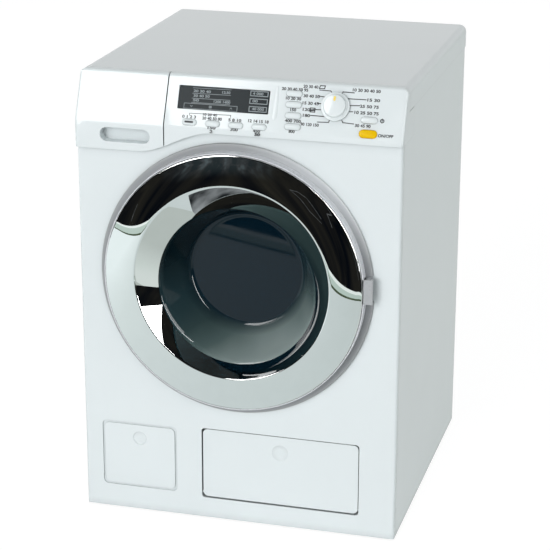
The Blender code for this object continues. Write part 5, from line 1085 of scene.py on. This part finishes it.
def add_table():
    edge = across_table(EDGE_SLOPE, EDGE_AT_MIDDLE)
    line = across_table(EDGE_SLOPE, EDGE_AT_MIDDLE - EDGE_LINE)
    lip = across_table(STRIP_SLOPE, LIP_MIDDLE)
    outer = across_table(STRIP_SLOPE, STRIP_AT_MIDDLE)
    flat_card("table_top", [(TABLE_RIGHT, CARD_BACK), *edge, (CARD_LEFT, CARD_BACK)],
              glow_across("table_pale", TABLE_LEFT, TABLE_RIGHT, TABLE_COLOURS))
    flat_card("table_line", [*edge, *line[::-1]],
              glow("table_line", (0.06, 0.085, 0.05), (0.11, 0.14, 0.09), scale=20.0))
    flat_card("table_strip", [*line, *lip[::-1]],
              glow_across("table_strip", TABLE_LEFT, TABLE_RIGHT, STRIP_COLOURS))
    # painted highlight along the table's edge
    flat_card("table_lip", [*lip[::-1], *outer],
              glow_across("table_lip", TABLE_LEFT, TABLE_RIGHT, LIP_PAINTED_HIGHLIGHT_COLOURS))
    flat_card("table_back", [(BACK_LEFT, BACK_FRONT), (FLOOR_HALF, BACK_FRONT), (FLOOR_HALF, FLOOR_HALF),
                             (BACK_LEFT, FLOOR_HALF)],
              glow("table_back", (0.68, 0.72, 0.70), (0.71, 0.75, 0.73), scale=3.0), BACK_LEVEL)
    # painted shadow of the machine on the table before its front
    flat_card("table_near_painted_shadow", NEAR_CORNERS,
              glow_across("table_near_painted_shadow", NEAR_LEFT, NEAR_RIGHT, NEAR_PAINTED_SHADOW_COLOURS), NEAR_LEVEL)
    flat_card("table_painted_shade", SHADE_CORNERS,
              glow("table_painted_shade", (0.015, 0.018, 0.020), (0.40, 0.43, 0.45), scale=14.0,
                   stretch=(1.0, 2.2, 1.0)), NEAR_LEVEL)


# The softbox over the camera's left shoulder, as seen from the fascia
SOFTBOX_FROM = (0.0, -0.08, 0.245)
SOFTBOX_AWAY = 1.5
SOFTBOX_LEFT = radians(48.0)
SOFTBOX_RIGHT = radians(18.0)
SOFTBOX_LOW = radians(14.3)
SOFTBOX_HIGH = radians(48.0)
SOFTBOX_STRENGTH = 8.5
WINDOW_STRENGTH = 6.0
STRIP_STRENGTH = 16.0
# The two lights at the right: their x, and their corners as y and z. The wide one's colours run
# from its front edge back.
SIDE_X = 1.0
SIDE_BOX = ((-0.515, 0.25), (-0.17, 0.23), (-0.09, 0.46), (0.02, 0.90), (0.02, 1.05), (-0.515, 1.05))
SIDE_COLOURS = ((0.05, 0.052, 0.053), (1.0, 1.0, 1.0), (1.0, 1.0, 1.0), (0.90, 0.90, 0.90),
                (0.22, 0.23, 0.23), (0.03, 0.033, 0.035))
STRIP_BOX = ((-0.66, 0.05), (-0.52, 0.05), (-0.48, 1.6), (-0.62, 1.6))


def seen_from_fascia(turn, lift):
    way = Vector((-sin(turn) * cos(lift), -cos(turn) * cos(lift), sin(lift)))
    return Vector(SOFTBOX_FROM) + way * SOFTBOX_AWAY


def add_softboxes():
    corners = ((SOFTBOX_LEFT, SOFTBOX_LOW), (SOFTBOX_RIGHT, SOFTBOX_LOW),
               (SOFTBOX_RIGHT, SOFTBOX_HIGH), (SOFTBOX_LEFT, SOFTBOX_HIGH))
    add_card("softbox_front", [seen_from_fascia(*corner) for corner in corners],
             glow("softbox_front", (0.97, 0.97, 0.97), (1.0, 1.0, 1.0), scale=3.0,
                  strength=SOFTBOX_STRENGTH))
    add_card("softbox_side", [(SIDE_X, y, z) for y, z in SIDE_BOX],
             glow_across("softbox_side", SIDE_BOX[0][0], SIDE_BOX[3][0], SIDE_COLOURS, WINDOW_STRENGTH, "Y"))
    add_card("softbox_strip", [(SIDE_X, y, z) for y, z in STRIP_BOX],
             glow("softbox_strip", (0.97, 0.98, 1.0), (1.0, 1.0, 1.0), scale=3.0, strength=STRIP_STRENGTH))


def add_lamp(name, place, size, power):
    light = bpy.data.lights.new(name, "AREA")
    light.shape = "SQUARE"
    light.size = size
    light.energy = power
    lamp = bpy.data.objects.new(name, light)
    bpy.context.scene.collection.objects.link(lamp)
    lamp.location = place
    lamp.rotation_mode = "QUATERNION"
    lamp.rotation_quaternion = (Vector(LAMP_TARGET) - Vector(place)).to_track_quat("-Z", "Y")
    lamp.visible_glossy = False
    lamp.visible_camera = False


# The world's light, which camera and mirrors see as plain white, and the lamps
WORLD_COLOUR = (0.97, 1.0, 1.0, 1.0)
WORLD_STRENGTH = 0.42
SEEN_COLOUR = (1.0, 1.0, 1.0, 1.0)
LAMP_TARGET = (0.0, 0.0, 0.12)
KEY_PLACE = (-0.880, -3.260, 1.020)
KEY_SIZE = 1.8
KEY_POWER = 62.0
FILL_PLACE = (2.85, -0.75, 0.30)
FILL_SIZE = 1.5
FILL_POWER = 17.0


def add_world():
    world = bpy.data.worlds.new("studio")
    world.use_nodes = True
    bpy.context.scene.world = world
    tree = world.node_tree
    tree.nodes.clear()
    soft = add_node(tree, "ShaderNodeBackground", {"Color": WORLD_COLOUR, "Strength": WORLD_STRENGTH})
    white = add_node(tree, "ShaderNodeBackground", {"Color": SEEN_COLOUR, "Strength": 1.0})
    path = tree.nodes.new("ShaderNodeLightPath").outputs
    seen = with_numbers(tree, "MAXIMUM", path["Is Camera Ray"], path["Is Glossy Ray"])
    seen = with_numbers(tree, "MAXIMUM", seen, path["Is Transmission Ray"])
    mix = {"Fac": seen, 1: soft["Background"], 2: white["Background"]}
    add_node(tree, "ShaderNodeOutputWorld", {"Surface": add_node(tree, "ShaderNodeMixShader", mix)["Shader"]})


# The camera as fitted to the photograph's corners
CAMERA_PLACE = (0.2897, -1.06625, 0.5009)
CAMERA_AZIMUTH = radians(15.277)
CAMERA_ELEVATION = radians(18.878)
CAMERA_ROLL = radians(0.160)
CAMERA_LENS = 127.65
CAMERA_SENSOR = 36.0
CAMERA_SIGHT = 50.0


def add_camera():
    a, e = CAMERA_AZIMUTH, CAMERA_ELEVATION
    back = Vector((sin(a) * cos(e), -cos(a) * cos(e), sin(e)))
    right = Vector((cos(a), sin(a), 0.0))
    up = back.cross(right)
    turned_right = cos(CAMERA_ROLL) * right + sin(CAMERA_ROLL) * up
    turned_up = cos(CAMERA_ROLL) * up - sin(CAMERA_ROLL) * right
    lens = bpy.data.cameras.new("photo_camera")
    lens.lens = CAMERA_LENS
    lens.sensor_width = CAMERA_SENSOR
    lens.clip_end = CAMERA_SIGHT
    camera = bpy.data.objects.new("photo_camera", lens)
    bpy.context.scene.collection.objects.link(camera)
    turn = Matrix((turned_right, turned_up, back)).transposed().to_4x4()
    camera.matrix_world = Matrix.Translation(CAMERA_PLACE) @ turn
    bpy.context.scene.camera = camera


def add_studio():
    bpy.context.scene.view_settings.view_transform = "Standard"
    add_world()
    add_floor()
    add_dome()
    add_wires()
    add_table()
    add_softboxes()
    add_lamp("key", KEY_PLACE, KEY_SIZE, KEY_POWER)
    add_lamp("fill", FILL_PLACE, FILL_SIZE, FILL_POWER)
    add_camera()


finishes = make_finishes()
carry_over(finishes)
add_ring(finishes)
add_frame_band(finishes)
add_bowl(finishes)
add_buttons(finishes)
add_knob(finishes)
screen_level = add_display(finishes)
add_rib(finishes)
add_fascia_print(finishes)
add_display_print(finishes, screen_level)
add_studio()
